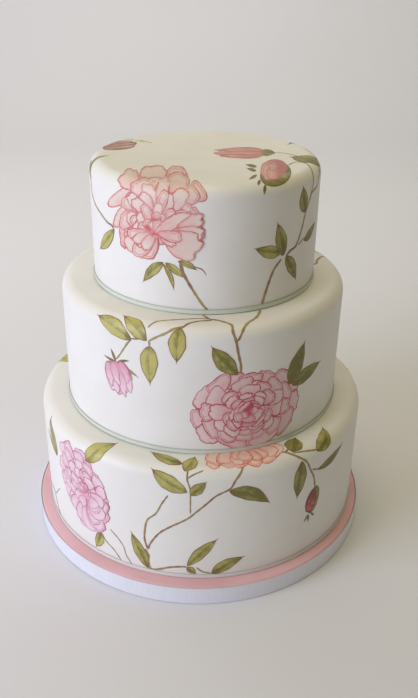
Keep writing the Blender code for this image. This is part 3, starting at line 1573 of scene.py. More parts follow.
@dataclass(frozen=True)
class PaintBox:
    """The tiers and the paints that go on them."""

    tiers: dict[str, TierForm]
    petals: dict[Hue, bpy.types.Material]
    leaf: bpy.types.Material
    stem: bpy.types.Material


@dataclass(frozen=True)
class Painter:
    """Lays one spray on its tier, the stems first and the flowers last."""

    box: PaintBox
    spray: Spray
    stem_lift: float = 0.13
    stem_fullness: float = 1.4
    leaf_lift: float = 0.18
    layer: float = 0.028
    flesh_lift: float = 0.06
    inner_tone: float = 0.3
    shade_tone: float = 0.7
    flesh_tone: float = 1.6
    bud_tone: float = 0.5
    dash_width: float = 1.9

    @cached_property
    def draw(self) -> random.Random:
        """The spray's random draws, in the order in which it is painted."""
        return random.Random(self.spray.seed)

    def paint(self) -> None:
        """Paint the spray, a piece for each kind of paint and for each flower."""
        spray = self.spray
        if spray.stems:
            pot = PaintPot()
            for mark in spray.stems:
                self._stem(pot, mark)
            pot.piece(spray.name + "_stems", self.box.stem, "stem_paint")
        if spray.leaves or spray.hips:
            pot = PaintPot()
            for mark in spray.leaves:
                self._leaf(pot, mark)
            for mark in spray.hips:
                self._hip_shade(pot, mark)
            pot.piece(spray.name + "_leaves", self.box.leaf, "leaf_paint")
        for kind, marks, lay in (("bud", spray.buds, self._bud), ("hip", spray.hips, self._hip)):
            for number, mark in enumerate(marks, 1):
                pot = PaintPot()
                lay(pot, mark)
                pot.piece(f"{spray.name}_{kind}_{number}", self.box.petals[mark.hue], "petal_paint")
        for flower in spray.peonies:
            self._peony(flower)

    def _moved(self, spot: Spot) -> Spot:
        """A spot of the spray where the spray lies on its tier."""
        return spot[0] + self.spray.turn, spot[1]

    def _canvas(self, spot: Spot, seen: bool = False) -> Canvas:
        """Find the drawing frame with its origin at a spot of the spray.

        Args:
            spot: The origin, before the spray is turned.
            seen: Whether the frame is square to the eye.

        Returns:
            The frame.
        """
        tier = self.box.tiers[self.spray.tier]
        angle, distance = self._moved(spot)
        if not seen:
            return SideCanvas(tier, radians(angle), distance * MM)
        turn = Matrix.Rotation(radians(self.spray.turn), 3, "Z")
        eye = tier.axis + turn @ (EYE - tier.axis)
        return SightCanvas(tier, tier.point(radians(angle), distance * MM), eye)

    def _span(self, start: Spot, end: Spot, seen: bool) -> tuple[Canvas, float, float]:
        """Find where and how a mark lies.

        Args:
            start: The mark's base.
            end: The mark's tip.
            seen: Whether it keeps its shape as looked at from the front.

        Returns:
            A drawing frame from its base, and its length and heading in that.
        """
        canvas = self._canvas(start, seen)
        run = canvas.flat(self._moved(end))
        return canvas, run.length, degrees(atan2(run.y, run.x))

    def _stem(self, pot: PaintPot, mark: StemMark) -> None:
        """Paint one stem.

        Args:
            pot: Takes the paint.
            mark: The stem.
        """
        canvas = self._canvas(mark.route[0])
        points = [canvas.flat(self._moved(spot)) for spot in mark.route]
        widths = tuple(self.stem_fullness * width for width in mark.widths)
        pot.stroke(canvas, points, widths, self.stem_lift, self.draw.random())

    def _leaf(self, pot: PaintPot, mark: LeafMark) -> None:
        """Paint one leaf.

        Args:
            pot: Takes the paint.
            mark: The leaf.
        """
        canvas, length, heading = self._span(mark.base, mark.tip, mark.seen)
        shape = Leaf(
            base=(0.0, 0.0),
            heading=heading,
            length=length,
            width=mark.width,
            bend=mark.bend,
            chance=self.draw.random(),
            waist=self.draw.uniform(0.78, 0.98),
        )
        pot.dab(canvas, shape, self.leaf_lift, mark.depth)

    def _hip_shade(self, pot: PaintPot, mark: HipMark) -> None:
        """Paint the olive side of a hip and the dashes of its crown.

        Args:
            pot: Takes the paint.
            mark: The hip.
        """
        canvas, length, heading = self._span(mark.neck, mark.end, mark.seen)
        chance = self.draw.random()
        shade = Petal(mark.shade, heading, length, mark.width, chance=chance, ruffles=1, frill=0.01)
        pot.dab(canvas, shade, self.leaf_lift, self.shade_tone)
        for start, end in mark.dashes:
            canvas, length, heading = self._span(start, end, mark.seen)
            dash = Leaf((0.0, 0.0), heading, length, self.dash_width, chance=self.draw.random())
            pot.dab(canvas, dash, self.leaf_lift, 1.0)

    def _hip(self, pot: PaintPot, mark: HipMark) -> None:
        """Paint the red side of a hip.

        Args:
            pot: Takes the paint.
            mark: The hip.
        """
        canvas, length, heading = self._span(mark.neck, mark.end, mark.seen)
        way = radians(heading)
        rest = 0.06 * length
        start = (rest * cos(way) - 0.6 * mark.shade[0], rest * sin(way) - 0.6 * mark.shade[1])
        for layer, (turn, reach, breadth) in enumerate(HIP_FLESH):
            flesh = Petal(
                base=start,
                heading=heading + turn,
                length=length * reach,
                width=mark.width * breadth,
                chance=self.draw.random(),
                taper=0.1,
                ruffles=4,
                notch=0.05,
            )
            lift = self.leaf_lift + self.flesh_lift + self.layer * layer
            pot.dab(canvas, flesh, lift, self.flesh_tone)

    def _bud(self, pot: PaintPot, mark: BudMark) -> None:
        """Paint a closed flower from a few petals that lie over each other.

        Args:
            pot: Takes the paint.
            mark: The bud.
        """
        canvas, length, heading = self._span(mark.neck, mark.tip, mark.seen)
        slim = 1.5 * mark.width / length
        petals = BUD_PETALS if slim > SLIM else BUD_PETALS[:SLIM_PETALS]
        for layer, (turn, side, reach, breadth) in enumerate(petals, 1):
            shift = side * mark.width
            way = radians(heading)
            petal = Petal(
                base=(-shift * sin(way), shift * cos(way)),
                heading=heading + turn * slim,
                length=length * reach,
                width=mark.width * breadth,
                bend=0.12 * shift,
                chance=self.draw.random(),
                taper=-min(0.25 / slim, 0.55) if mark.ruffled else 0.04,
                ruffles=2,
                frill=0.09 if mark.ruffled else 0.015,
                notch=0.06 if mark.ruffled else 0.0,
            )
            pot.dab(canvas, petal, self.leaf_lift + self.layer * layer, self.bud_tone)

    def _peony(self, flower: Peony) -> None:
        """Paint a full flower as an outer and an inner piece.

        Args:
            flower: The flower.
        """
        outer, inner = PaintPot(), PaintPot()
        flower.paint(outer, inner, self._canvas(flower.at, flower.seen), self.inner_tone)
        for part, pot in (("outer", outer), ("inner", inner)):
            name = f"{self.spray.name}_{flower.name}_{part}"
            pot.piece(name, self.box.petals[flower.hue], "petal_paint")


@dataclass(frozen=True)
class IcedTier:
    """One tier: cake under marzipan and rolled paste, uncut."""

    form: TierForm
    paste: bpy.types.Material
    steps: int = 256
    shoulder_steps: int = 14
    row: float = 4.0 * MM
    foot_round: float = 0.8 * MM

    def _profile(self) -> list[Spot]:
        """List half of the tier's section.

        Returns:
            Its points, from the middle of its base to the middle of its top.
        """
        form = self.form
        foot = form.radius - self.foot_round
        points = [(0.0, 0.0), (foot * 0.5, 0.0), (foot, 0.0)]
        for step in (1, 2, 3):
            turn = pi / 2.0 * step / 3.0
            points.append((foot + self.foot_round * sin(turn), self.foot_round * (1.0 - cos(turn))))
        rows = round((form.side_end - self.foot_round) / self.row)
        for step in range(1, rows + 1):
            points.append((form.radius, self.foot_round + (form.side_end - self.foot_round) * step / rows))
        for step in range(1, self.shoulder_steps + 1):
            turn = pi / 2.0 * step / self.shoulder_steps
            across = form.top_radius + form.shoulder * cos(turn)
            points.append((across, form.side_end + form.shoulder * sin(turn)))
        rings = round(form.top_radius / self.row)
        for step in range(1, rings + 1):
            points.append((form.top_radius * (1.0 - step / rings), form.height))
        return points

    def build(self) -> bpy.types.Object:
        """Make the tier, which stands for its plain solid.

        Returns:
            The piece.
        """
        form = self.form
        shape = bmesh.new()
        turn_profile(shape, self._profile(), self.steps)
        for vert in shape.verts:
            radius, height = hypot(vert.co.x, vert.co.y), vert.co.z
            on_foot = height < self.foot_round and radius < form.radius - 0.01 * MM
            if on_foot:
                vert.co += form.axis
                continue
            angle = atan2(vert.co.x, -vert.co.y)
            vert.co = form.point(angle, form.distance_at(radius, height))
        piece = add_piece(f"{form.name}_tier_icing", shape, self.paste)
        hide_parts("tier_" + form.name)
        return piece


@dataclass(frozen=True)
class BoundRibbon:
    """A ribbon glued round something round, with its end lapped at the back."""

    name: str
    node: str
    satin: bpy.types.Material
    slot: str
    thickness: float = 0.4 * MM
    crown: float = 0.06 * MM
    lap_length: float = 14.0 * MM
    steps: int = 240
    rows: int = 6

    # The lap lies between these heights off the band's inside, in thicknesses.
    LAP: ClassVar[Spot] = (0.7, 1.9)
    LAP_STEPS: ClassVar[int] = 8
    SHARP: ClassVar[float] = 35.0

    def _section(self, inner: float, width: float) -> list[Spot]:
        """List the ribbon's own section: flat inside, faintly crowned outside.

        Args:
            inner: The band's inside radius.
            width: The ribbon's width, which stands upright.

        Returns:
            The section's points, as radius and height.
        """
        outer = inner + self.thickness - self.crown
        points = [(inner, 0.0)]
        for row in range(self.rows + 1):
            share = row / self.rows
            points.append((outer + self.crown * sin(pi * share) ** 0.5, width * share))
        points.append((inner, width))
        return points

    def _weave(self, shape: bmesh.types.BMesh, radius: float, width: float, foot: Vector) -> None:
        """Store the place on the ribbon and its width, then set the band in place.

        Args:
            shape: The band, about the origin.
            radius: The band's inside radius.
            width: The ribbon's width.
            foot: Where the middle of the band's lower edge goes.
        """
        weave = shape.verts.layers.float_vector.new(WEAVE)
        for vert in shape.verts:
            along = atan2(vert.co.x, -vert.co.y) * radius
            vert[weave] = (along / MM, vert.co.z / MM, width / MM)
            vert.co += foot

    def build(self) -> bpy.types.Object:
        """Make the band and its lap as one piece, which stands for its plain solid.

        Returns:
            The piece.
        """
        low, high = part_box(self.node)
        foot = Vector(((low.x + high.x) / 2.0, 0.0, low.z))
        inner = (high.x - low.x) / 2.0 - self.thickness
        foot.y = low.y + inner + self.thickness
        width = high.z - low.z
        shape = bmesh.new()
        turn_profile(shape, self._section(inner, width), self.steps, closed=True)
        self._add_lap(shape, inner, width)
        self._weave(shape, inner, width, foot)
        piece = add_piece(self.name, shape, self.satin, self.SHARP)
        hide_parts(self.node)
        return piece

    def _add_lap(self, shape: bmesh.types.BMesh, inner: float, width: float) -> None:
        """Add the end of the ribbon, which lies over its start at the back.

        Args:
            shape: The band, about the origin.
            inner: Its inside radius.
            width: The ribbon's width.
        """
        half = self.lap_length / (2.0 * inner)
        low, high = (inner + share * self.thickness for share in self.LAP)
        corners = ((low, 0.0), (high, 0.0), (high, width), (low, width))
        start = Matrix.Rotation(pi / 2.0 - half, 3, "Z")
        before = len(shape.faces)
        face = shape.faces.new([shape.verts.new(start @ Vector((r, 0.0, z))) for r, z in corners])
        spin(shape, [face], 2.0 * half, self.LAP_STEPS)
        shape.faces.ensure_lookup_table()
        bmesh.ops.recalc_face_normals(shape, faces=shape.faces[before:])


@dataclass(frozen=True)
class DrumBoard:
    """The round board: foiled card, its thin pink icing and its white ribbon."""

    icing: bpy.types.Material
    foil: bpy.types.Material
    ribbon: bpy.types.Material
    steps: int = 240
    edge_round: float = 1.8 * MM
    foil_round: float = 0.8 * MM
    # The icing is thinner than its solid by up to twice this, in slow waves.
    hollow: float = 0.09 * MM

    def build(self) -> None:
        """Make the board's three pieces."""
        self._drum()
        self._icing()
        band = BoundRibbon("board_edge_ribbon", "board_ribbon", self.ribbon, "ribbon_white", rows=10)
        piece = band.build()

    def _arc(
        self, centre: Spot, radius: float, start: float, end: float, count: int = 5
    ) -> list[Spot]:
        """List points on an arc of a profile.

        Args:
            centre: The arc's centre.
            radius: Its radius.
            start: Where it starts, in radians from outwards.
            end: Where it ends.
            count: How many steps it has.

        Returns:
            The points.
        """
        turns = [start + (end - start) * step / count for step in range(count + 1)]
        return [(centre[0] + radius * cos(turn), centre[1] + radius * sin(turn)) for turn in turns]

    def _drum(self) -> None:
        """The card, with its foil folded over both edges."""
        low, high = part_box("board_drum")
        radius, height, bend = (high.x - low.x) / 2.0, high.z - low.z, self.foil_round
        profile = [(0.0, 0.0), (0.5 * radius, 0.0)]
        profile += self._arc((radius - bend, bend), bend, -pi / 2.0, 0.0)
        profile += self._arc((radius - bend, height - bend), bend, 0.0, pi / 2.0)
        profile += [(0.5 * radius, height), (0.0, height)]
        shape = bmesh.new()
        turn_profile(shape, profile, self.steps)
        middle = (low + high) / 2.0
        foot = Vector((middle.x, middle.y, middle.z - height / 2.0))
        bmesh.ops.translate(shape, verts=shape.verts, vec=foot)
        piece = add_piece("drum", shape, self.foil)
        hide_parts("board_drum")

    def _icing(self) -> None:
        """The pink icing on top, rubbed round at its edge."""
        low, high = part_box("board_icing")
        radius, height, bend = (high.x - low.x) / 2.0, high.z - low.z, self.edge_round
        profile = [(0.0, 0.0), (radius, 0.0)]
        profile += self._arc((radius - bend, height - bend), bend, 0.0, pi / 2.0, 7)
        profile += [(radius * (1.0 - step / 12.0), height) for step in range(1, 13)]
        shape = bmesh.new()
        turn_profile(shape, profile, self.steps)
        for vert in shape.verts:
            if vert.co.z > 0.6 * height:
                angle = atan2(vert.co.y, vert.co.x)
                vert.co.z -= self.hollow * (1.0 + sin(5.0 * angle + 0.7) * sin(2.0 * angle))
        bmesh.ops.translate(shape, verts=shape.verts, vec=Vector((0.0, 0.0, low.z)))
        piece = add_piece("board_icing_disc", shape, self.icing)
        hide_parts("board_icing")


def stem(*route: Spot, widths: Spot = (1.5, 1.2)) -> StemMark:
    """A stem through a few spots."""
    return StemMark(tuple(route), widths)


def leaf(base: Spot, tip: Spot, width: float, bend: float, depth: float) -> LeafMark:
    """A leaf from its base to its tip."""
    return LeafMark(base, tip, width, bend, depth)


def top_tier_sprays() -> list[Spray]:
    """List the sprays of the top tier: a flower, vines, two buds and a hip.

    Returns:
        The sprays.
    """
    vine = Spray(
        name="top_left_vine",
        tier="top",
        stems=(
            stem(
                (-82, 87), (-72, 80), (-71, 69), (-66, 62), (-59, 58), (-52, 54), (-48, 53), (-46, 50),
                widths=(1.7, 1.3),
            ),
        ),
        leaves=(
            leaf((-46, 51), (-62, 29), 9.4, 1.0, -0.05),
            leaf((-70, 78), (-82, 100), 4.5, 2.0, 0.5),
        ),
        seed=11,
    )
    flower = Spray(
        name="top_peony",
        tier="top",
        stems=(
            stem((-10, 37), (-8, 28), (-3, 15), (1, 6), (3, 3.2), widths=(2.0, 1.3)),
            stem((-4, 35), (0, 33), (2, 29), widths=(0.8, 0.6)),
        ),
        leaves=(
            leaf((-18, 36), (-29, 18), 7.5, -1.2, 0.3),
            leaf((-18, 35), (-13, 16), 3.8, 1.6, 0.0),
            leaf((-17, 36), (-8, 26), 5.6, 0.6, 0.25),
            leaf((-11, 38), (-2, 32), 4.6, 1.2, 0.1),
        ),
        peonies=(
            Peony("peony", (-19.4, 71.5), 30.5, 33.5, Pose.SIDE, 9, Hue.BLUSH, seen=True, square=0.1),
        ),
        seed=12,
    )
    right = Spray(
        name="top_right_vine",
        tier="top",
        stems=(
            stem(
                (110, 90), (101, 88), (84, 88), (73, 82), (70, 76), (63, 74), (60, 69), (57, 62),
                (55, 54), (53, 47), (50, 40), (46, 38), (43, 35),
                widths=(1.1, 1.6),
            ),
            stem(
                (66, 106), (72, 105), (76, 101), (73, 95), (68, 90), (64, 84), (63, 78), (61, 73),
                widths=(0.9, 1.0),
            ),
            stem((40, 34), (36, 28), (34, 22), (32, 14), (30, 5), (30, 3.2), widths=(1.5, 1.9)),
            stem((57, 43), (52, 40), widths=(0.9, 1.0)),
        ),
        leaves=(
            leaf((56, 62), (53, 82), 11.0, 0.6, 0.6),
            leaf((41, 36), (36, 62), 10.5, -0.8, 0.62),
            leaf((40, 39), (24, 46), 9.5, 1.0, 0.55),
            leaf((43, 35), (52, 13), 9.5, 1.0, 0.62),
            leaf((57, 41), (72, 49), 8.0, -1.4, 0.78),
            leaf((79, 86), (88, 109), 22.0, -1.5, 0.8),
        ),
        hips=(
            HipMark(
                neck=(61.5, 103),
                end=(35, 106),
                width=16.5,
                hue=Hue.SALMON,
                shade=(1.1, -1.9),
                dashes=(
                    ((50, 123), (50, 133)),
                    ((41, 116), (41, 126)),
                    ((35, 108), (25, 100)),
                    ((30, 96), (26, 89)),
                    ((30, 89), (28, 82)),
                ),
                seen=True,
            ),
        ),
        seed=13,
    )
    face = Spray(
        name="top_face",
        tier="top",
        stems=(
            stem((102, 120), (98, 111), (88, 101), widths=(0.7, 0.9)),
            stem((-98, 87), (-102, 90), (-106, 92), widths=(0.9, 1.4)),
            stem((-125, 92), (-128, 98), widths=(0.8, 1.3)),
            stem((-126, 101), (-129, 109), widths=(1.5, 0.9)),
            stem((-129, 104), (-130, 116), widths=(1.0, 0.7)),
        ),
        leaves=(
            LeafMark((102, 118), (105, 132), 4.6, 0.0, 0.5, seen=True),
            LeafMark((104, 118), (110, 126), 1.6, 0.0, 0.4, seen=True),
            LeafMark((100, 118), (98, 128), 1.6, 0.0, 0.4, seen=True),
        ),
        buds=(
            BudMark((-105, 89), (-121, 108), 5.8, Hue.RUSSET, ruffled=False, seen=True),
            BudMark((103, 127), (152, 160), 7.0, Hue.SALMON, seen=True),
        ),
        seed=14,
    )
    return [vine, flower, right, face]


def middle_tier_sprays() -> list[Spray]:
    """List the sprays of the middle tier: an open flower, a rosebud and their vines.

    Returns:
        The sprays.
    """
    left = Spray(
        name="middle_left_vine",
        tier="middle",
        stems=(
            stem(
                (5, 111), (0, 110), (-4, 106), (-6, 101), (-9, 99), (-12, 95), (-15, 92), (-18, 88),
                (-18, 86),
            ),
            stem(
                (4, 113), (0, 114), (-6, 112), (-12, 108), (-16, 104), (-18, 100), (-19, 97),
                widths=(1.0, 0.8),
            ),
            stem((-25, 87), (-27, 82), (-29, 76), (-31, 70), (-32.6, 66.5), widths=(1.2, 0.9)),
            stem((-25, 87), (-22, 88), widths=(1.3, 1.0)),
            stem((-18, 88), (-18, 84), widths=(1.4, 1.2)),
        ),
        leaves=(
            leaf((-25, 86), (-42, 96), 12.5, -1.5, 0.1),
            leaf((-19, 88), (-31, 102), 11.5, -1.5, 0.02),
            leaf((-18, 84), (-18, 53), 13.4, -0.8, -0.12),
            leaf((-7, 100), (-8, 73), 12.4, -0.8, -0.06),
            leaf((-32.4, 65), (-34.5, 74.5), 2.4, 0.0, 0.3),
            leaf((-32, 65), (-38.4, 67), 2.0, 0.6, 0.3),
            leaf((-32, 65), (-26, 69), 2.0, 0.5, 0.4),
            leaf((-31, 64), (-22.5, 57), 2.2, 0.8, 0.4),
        ),
        buds=(BudMark((-33.4, 65), (-29.2, 38.5), 22.0, Hue.ROSE),),
        seed=21,
    )
    flower = Spray(
        name="middle_peony",
        tier="middle",
        stems=(
            stem(
                (1, 120), (4, 113), (6, 112), (9, 109), (12, 103), (12, 97), (13, 90), (14, 80),
                (15, 71), (15, 62),
                widths=(1.6, 1.5),
            ),
            stem((29, 119), (24, 110), (19, 104), (16, 98), (13.5, 90), widths=(1.7, 1.2)),
        ),
        leaves=(
            leaf((14, 64), (4, 88), 12.5, 1.0, 0.82),
            leaf((36, 47), (42.5, 79), 14.0, 0.5, 1.3),
            leaf((37, 46), (54, 54), 12.0, 0.5, 1.0),
        ),
        peonies=(Peony("peony", (19.0, 34.5), 43.0, 31.5, Pose.OPEN, 14, Hue.CARMINE, square=0.07),),
        seed=22,
    )
    return [left, flower]


def bottom_tier_sprays() -> list[Spray]:
    """List the sprays of the bottom tier: two flowers, a hip and vines.

    Returns:
        The sprays.
    """
    left = Spray(
        name="bottom_left",
        tier="bottom",
        stems=(
            stem((-34, 22), (-32, 16), (-29, 11), (-26, 3.2), widths=(0.9, 0.8)),
            stem((-30, 30), (-27, 24), (-25, 18), (-24, 10), (-22, 3.2), widths=(0.8, 0.8)),
            stem((-76, 12), (-67, 19), (-64, 14), (-62, 7), (-60, 3.2), widths=(1.1, 1.7)),
            stem((-64, 18), (-58, 33), widths=(0.8, 0.6)),
        ),
        leaves=(
            leaf((-58, 65), (-63, 96), 11.0, 0.6, 0.35),
            leaf((-58, 65), (-66, 80), 2.4, 1.6, 0.5),
            leaf((-39, 84), (-31, 112), 14.5, -1.5, 0.08),
            leaf((-34, 22), (-37, 4), 9.0, 0.8, 0.2),
            leaf((-76, 12), (-89, 25), 9.5, 1.2, 0.4),
            leaf((-76, 11), (-86, 4), 7.0, -0.8, 0.5),
        ),
        peonies=(Peony("peony", (-42.6, 56), 27.0, 41.0, Pose.LEANING, 5, Hue.ROSE, lean=27.0),),
        seed=31,
    )
    centre = Spray(
        name="bottom_centre",
        tier="bottom",
        stems=(
            stem((-3, 98), (-3, 91), (-2, 82), (-2, 74), (-2, 66), (-2, 61), widths=(1.1, 0.8)),
            stem(
                (15, 102), (14, 96), (12, 90), (11, 85), (10, 82), (6, 77), (3, 70), (0, 63), (-3, 56),
                (-8, 48), (-12, 40), (-15, 29), (-16, 22),
                widths=(1.3, 1.2),
            ),
            stem(
                (-9, 76), (-11, 68), (-13, 58), (-16, 50), (-17, 38), (-17, 30), (-16, 22),
                widths=(1.0, 1.4),
            ),
            stem(
                (-17, 22), (-16, 16), (-16, 9), (-15, 3.5), (-12, 5), (-9, 8), (-5, 10), (-3, 10),
                widths=(1.8, 1.3),
            ),
            stem((0, 10), (2, 6), (5, 4), widths=(1.2, 1.0)),
            stem((-3, 92), (-1, 95), (2, 98), widths=(1.0, 0.8)),
        ),
        leaves=(
            leaf((-5, 103), (-18, 113), 9.5, 0.8, 0.35),
            leaf((-4, 97), (-1, 113), 10.5, -0.8, 0.12),
            leaf((-3, 80), (-15, 97), 13.0, 1.2, 0.2),
            leaf((-2, 78), (3, 90), 9.0, 0.0, 0.25),
            leaf((10, 81), (24, 63), 12.0, 3.5, 1.05),
            leaf((-16, 3.6), (-22, 36), 10.0, 0.5, 0.65),
            leaf((-3, 11), (7, 38), 9.5, 1.0, 0.3),
            leaf((5, 4.2), (16, 18), 10.5, 1.6, 0.65),
            leaf((-3, 10), (0, 3.6), 6.0, 0.0, 0.2),
        ),
        seed=32,
    )
    right = Spray(
        name="bottom_right",
        tier="bottom",
        stems=(
            stem(
                (26, 106), (30, 104), (32, 100), (34, 96), (37, 90), (39, 81), (41, 72), (42, 62),
                widths=(1.3, 1.3),
            ),
            stem((33, 100), (37, 98), (42, 95), widths=(1.0, 0.9)),
            stem((40, 80), (43, 77), widths=(1.4, 1.2)),
            stem((31, 103), (33, 105), widths=(1.5, 1.2)),
        ),
        leaves=(
            leaf((33, 101), (40, 114), 14.0, 0.0, 0.95),
            leaf((42, 94), (53, 109), 12.0, -3.5, 0.5),
            leaf((35, 92), (34, 58), 12.0, 0.6, 0.9),
            leaf((42.5, 77), (57, 85), 7.5, -2.5, 1.0),
        ),
        peonies=(Peony("half_peony", (17, 106.5), 30.5, 9.5, Pose.TUCKED, 6, Hue.CORAL),),
        hips=(
            HipMark(
                neck=(42, 62),
                end=(40, 38),
                width=12.5,
                hue=Hue.CRIMSON,
                shade=(1.5, 0.0),
                dashes=(((40, 38), (38, 32)), ((40, 37), (40, 30)), ((41, 38), (43, 33))),
            ),
        ),
        seed=33,
    )
    return [left, centre, right]


BACK_SEED = 100


def back_sprays(front: list[Spray]) -> list[Spray]:
    """Repeat the front's sprays round the sides and the back.

    Args:
        front: The front's sprays.

    Returns:
        The sprays that the front view doesn't show, or hardly.
    """
    # Which one is painted again, and how many degrees further round.
    turns = (
        ("top_left_vine", 200.0),
        ("middle_left_vine", 200.0),
        ("middle_peony", 200.0),
        ("middle_peony", 96.0),
        ("bottom_left", 290.0),
        ("bottom_left", 165.0),
        ("bottom_centre", 165.0),
        ("bottom_right", 165.0),
    )
    flower = Spray(
        name="top_back",
        tier="top",
        stems=(stem((190, 26), (187, 16), (186, 3.2), widths=(1.7, 1.4)),),
        leaves=(
            leaf((176, 26), (164, 14), 8.0, -1.0, 0.3),
            leaf((196, 22), (207, 8), 8.0, 1.0, 0.4),
            leaf((212, 46), (232, 58), 10.0, 1.0, 0.5),
        ),
        peonies=(Peony("peony", (190, 47), 33.0, 26.0, Pose.OPEN, 8, Hue.BLUSH),),
        seed=41,
    )
    found = {spray.name: spray for spray in front}
    again = [
        found[name].again(f"{name}_{round(turn)}", turn, BACK_SEED + index)
        for index, (name, turn) in enumerate(turns)
    ]
    return [flower, *again]


@dataclass(frozen=True)
class Lamp:
    """A soft light that faces a point from a direction.

    Its azimuth is in degrees from the front, to the right, and its elevation in
    degrees above the floor. Distance and size are in metres, and power in watts.
    """

    name: str
    aim: Vector
    azimuth: float
    elevation: float
    distance: float
    size: Spot
    power: float
    colour: Colour

    def hang(self) -> None:
        """Add the light to the scene."""
        light = bpy.data.lights.new(self.name, "AREA")
        light.shape = "RECTANGLE"
        light.size, light.size_y = self.size
        light.energy = self.power
        light.color = self.colour
        turn, rise = radians(self.azimuth), radians(self.elevation)
        way = Vector((sin(turn) * cos(rise), -cos(turn) * cos(rise), sin(rise)))
        lamp = bpy.data.objects.new(self.name, light)
        lamp.location = self.aim + way * self.distance
        lamp.rotation_mode = "QUATERNION"
        lamp.rotation_quaternion = way.to_track_quat("Z", "Y")
        bpy.context.scene.collection.objects.link(lamp)


CAKE_AIM = Vector((0.0, 0.0, 0.17))
BACKDROP_AIM = Vector((0.0, 2.2, 0.6))
REAR_AIM = Vector((-0.7, 1.6, 0.0))
LAMPS = (
    Lamp("key", CAKE_AIM, -57.0, 17.0, 1.6, (0.9, 1.1), 20.0, (0.81, 0.84, 1.0)),
    Lamp("overhead", CAKE_AIM, 0.0, 84.0, 2.1, (1.6, 1.6), 11.6, (1.0, 0.83, 0.3)),
    Lamp("backdrop_wash", BACKDROP_AIM, -14.0, 40.0, 1.9, (2.4, 0.8), 15.0, (1.0, 0.97, 0.86)),
    Lamp("rear_wash", REAR_AIM, 0.0, 36.0, 1.54, (0.8, 0.5), 2.6, (0.9, 0.94, 1.0)),
)


class Studio:
    """A plain pale sweep, soft light mostly from the left, and the camera."""

    FLOOR_COLOUR = (0.775, 0.782, 0.865)
    ROOM_COLOUR = (1.0, 0.93, 0.74, 1.0)
    ROOM_STRENGTH = 0.2
    # The camera looks down, to the left and askew by these angles.
    PITCH, YAW, ROLL = radians(27.84), radians(0.42), radians(0.95)
    LENS, SENSOR, NEAREST = 40.5, 36.0, 0.01
    # The sweep's front, back, height, half width and bend, in metres.
    SWEEP_FRONT, SWEEP_BACK, SWEEP_HEIGHT, SWEEP_HALF, SWEEP_BEND = -4.0, 2.2, 4.0, 6.0, 0.9
    BEND_STEPS = 16

    def build(self) -> None:
        """Make the floor, the lights and the camera."""
        self._sweep()
        bpy.context.scene.view_settings.view_transform = "Standard"
        for lamp in LAMPS:
            lamp.hang()
        world = bpy.data.worlds.new("room")
        world.use_nodes = True
        back = world.node_tree.nodes["Background"]
        back.inputs["Color"].default_value = self.ROOM_COLOUR
        back.inputs["Strength"].default_value = self.ROOM_STRENGTH
        bpy.context.scene.world = world
        self._camera()

    def _paper(self) -> bpy.types.Material:
        """Make the sweep's material.

        Returns:
            The material.
        """
        sheet = NodeSheet("studio_paper")
        grain = sheet.noise(sheet.object_place(), 3.0)
        darker = tuple(0.97 * part for part in self.FLOOR_COLOUR)
        sheet.surface(base_color=sheet.blend(grain, self.FLOOR_COLOUR, darker), roughness=0.75)
        return sheet.material

    def _sweep(self) -> None:
        """Make the floor, which curves up into a backdrop far behind the cake."""
        bend, start = self.SWEEP_BEND, self.SWEEP_BACK - self.SWEEP_BEND
        profile = [(self.SWEEP_FRONT, 0.0), (start, 0.0)]
        for step in range(1, self.BEND_STEPS + 1):
            turn = pi / 2.0 * step / self.BEND_STEPS
            profile.append((start + bend * sin(turn), bend * (1.0 - cos(turn))))
        profile.append((self.SWEEP_BACK, self.SWEEP_HEIGHT))
        shape = bmesh.new()
        line = [shape.verts.new((-self.SWEEP_HALF, y, z)) for y, z in profile]
        edges = [shape.edges.new(pair) for pair in zip(line, line[1:])]
        made = bmesh.ops.extrude_edge_only(shape, edges=edges)["geom"]
        moved = [item for item in made if isinstance(item, bmesh.types.BMVert)]
        bmesh.ops.translate(shape, verts=moved, vec=Vector((2.0 * self.SWEEP_HALF, 0.0, 0.0)))
        bmesh.ops.recalc_face_normals(shape, faces=shape.faces)
        floor = add_object("sweep", shape, self._paper())

    def _camera(self) -> None:
        """Set the camera in its place."""
        data = bpy.data.cameras.new("camera")
        data.lens = self.LENS
        data.sensor_width = self.SENSOR
        data.clip_start = self.NEAREST
        camera = bpy.data.objects.new("camera", data)
        turn = Matrix.Rotation(self.YAW, 3, "Z")
        tilt = Matrix.Rotation(pi / 2.0 - self.PITCH, 3, "X")
        roll = Matrix.Rotation(self.ROLL, 3, "Z")
        camera.matrix_world = Matrix.LocRotScale(EYE, turn @ tilt @ roll, None)
        bpy.context.scene.collection.objects.link(camera)
        bpy.context.scene.camera = camera


ICING_WHITE = IcingFinish("icing_white", (0.86, 0.85, 0.83), (0.83, 0.815, 0.785))
ICING_PINK = IcingFinish("icing_pink", (0.84, 0.525, 0.585), (0.79, 0.475, 0.53), 0.55, 0.03)
BOARD_SATIN = SatinFinish("board_satin", (0.84, 0.85, 0.95), (0.78, 0.79, 0.89), (0.68, 0.7, 0.8))
MINT_SATIN = SatinFinish("mint_satin", (0.73, 0.77, 0.7), (0.65, 0.7, 0.62), (0.42, 0.49, 0.42))
PALE_SATIN = SatinFinish("pale_satin", (0.8, 0.81, 0.78), (0.72, 0.73, 0.7), (0.6, 0.62, 0.58))
LEAF_PAINT = LeafFinish(
    "leaf_paint",
    light=(0.53, 0.49, 0.158),
    dark=(0.19, 0.175, 0.04),
    edge=(0.22, 0.13, 0.055),
    earth=(0.22, 0.12, 0.05),
)
STEM_PAINT = StemFinish("stem_paint", (0.27, 0.14, 0.08), (0.36, 0.3, 0.13))
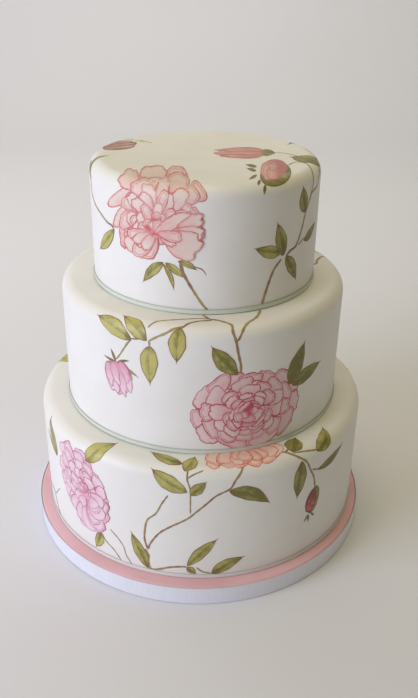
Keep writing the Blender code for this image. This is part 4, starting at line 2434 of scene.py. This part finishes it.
# Paper, wash, line and deep tone of each mix.
PETAL_MIXES = {
    Hue.BLUSH: ((0.8, 0.68, 0.62), (0.74, 0.36, 0.33), (0.59, 0.16, 0.17), (0.64, 0.09, 0.11)),
    Hue.CARMINE: ((0.81, 0.65, 0.65), (0.72, 0.28, 0.33), (0.5, 0.08, 0.13), (0.55, 0.05, 0.1)),
    Hue.ROSE: ((0.84, 0.68, 0.75), (0.78, 0.43, 0.53), (0.53, 0.17, 0.28), (0.64, 0.15, 0.26)),
    Hue.CORAL: ((0.87, 0.73, 0.64), (0.84, 0.43, 0.37), (0.72, 0.19, 0.16), (0.68, 0.16, 0.14)),
    Hue.SALMON: ((0.78, 0.48, 0.43), (0.7, 0.33, 0.3), (0.52, 0.2, 0.18), (0.5, 0.16, 0.14)),
    Hue.CRIMSON: ((0.6, 0.16, 0.2), (0.5, 0.1, 0.12), (0.24, 0.06, 0.05), (0.3, 0.06, 0.05)),
    Hue.RUSSET: ((0.69, 0.44, 0.38), (0.56, 0.29, 0.23), (0.3, 0.15, 0.1), (0.3, 0.14, 0.1)),
}


def main() -> None:
    """Build every piece in order, then light and frame the cake."""
    tiers = {name: TierForm.of(name) for name in TIER_NAMES}
    paste = ICING_WHITE.material()
    mint, pale = MINT_SATIN.material(), PALE_SATIN.material()
    Studio().build()
    DrumBoard(ICING_PINK.material(), CardFinish().material(), BOARD_SATIN.material()).build()
    for name, form in tiers.items():
        IcedTier(form, paste).build()
        satin, slot = (pale, "ribbon_pale") if name == "bottom" else (mint, "ribbon_mint")
        BoundRibbon(f"{name}_tier_ribbon", "ribbon_" + name, satin, slot).build()
    petals = {hue: PetalFinish("petal_" + hue.value, *mix).material() for hue, mix in PETAL_MIXES.items()}
    box = PaintBox(tiers, petals, LEAF_PAINT.material(), STEM_PAINT.material())
    front = top_tier_sprays() + middle_tier_sprays() + bottom_tier_sprays()
    for spray in front + back_sprays(front):
        Painter(box, spray).paint()
    PaintPot.clear_blanks()


if __name__ == "__main__":
    logging.basicConfig(level=logging.INFO, format="%(message)s")
    main()
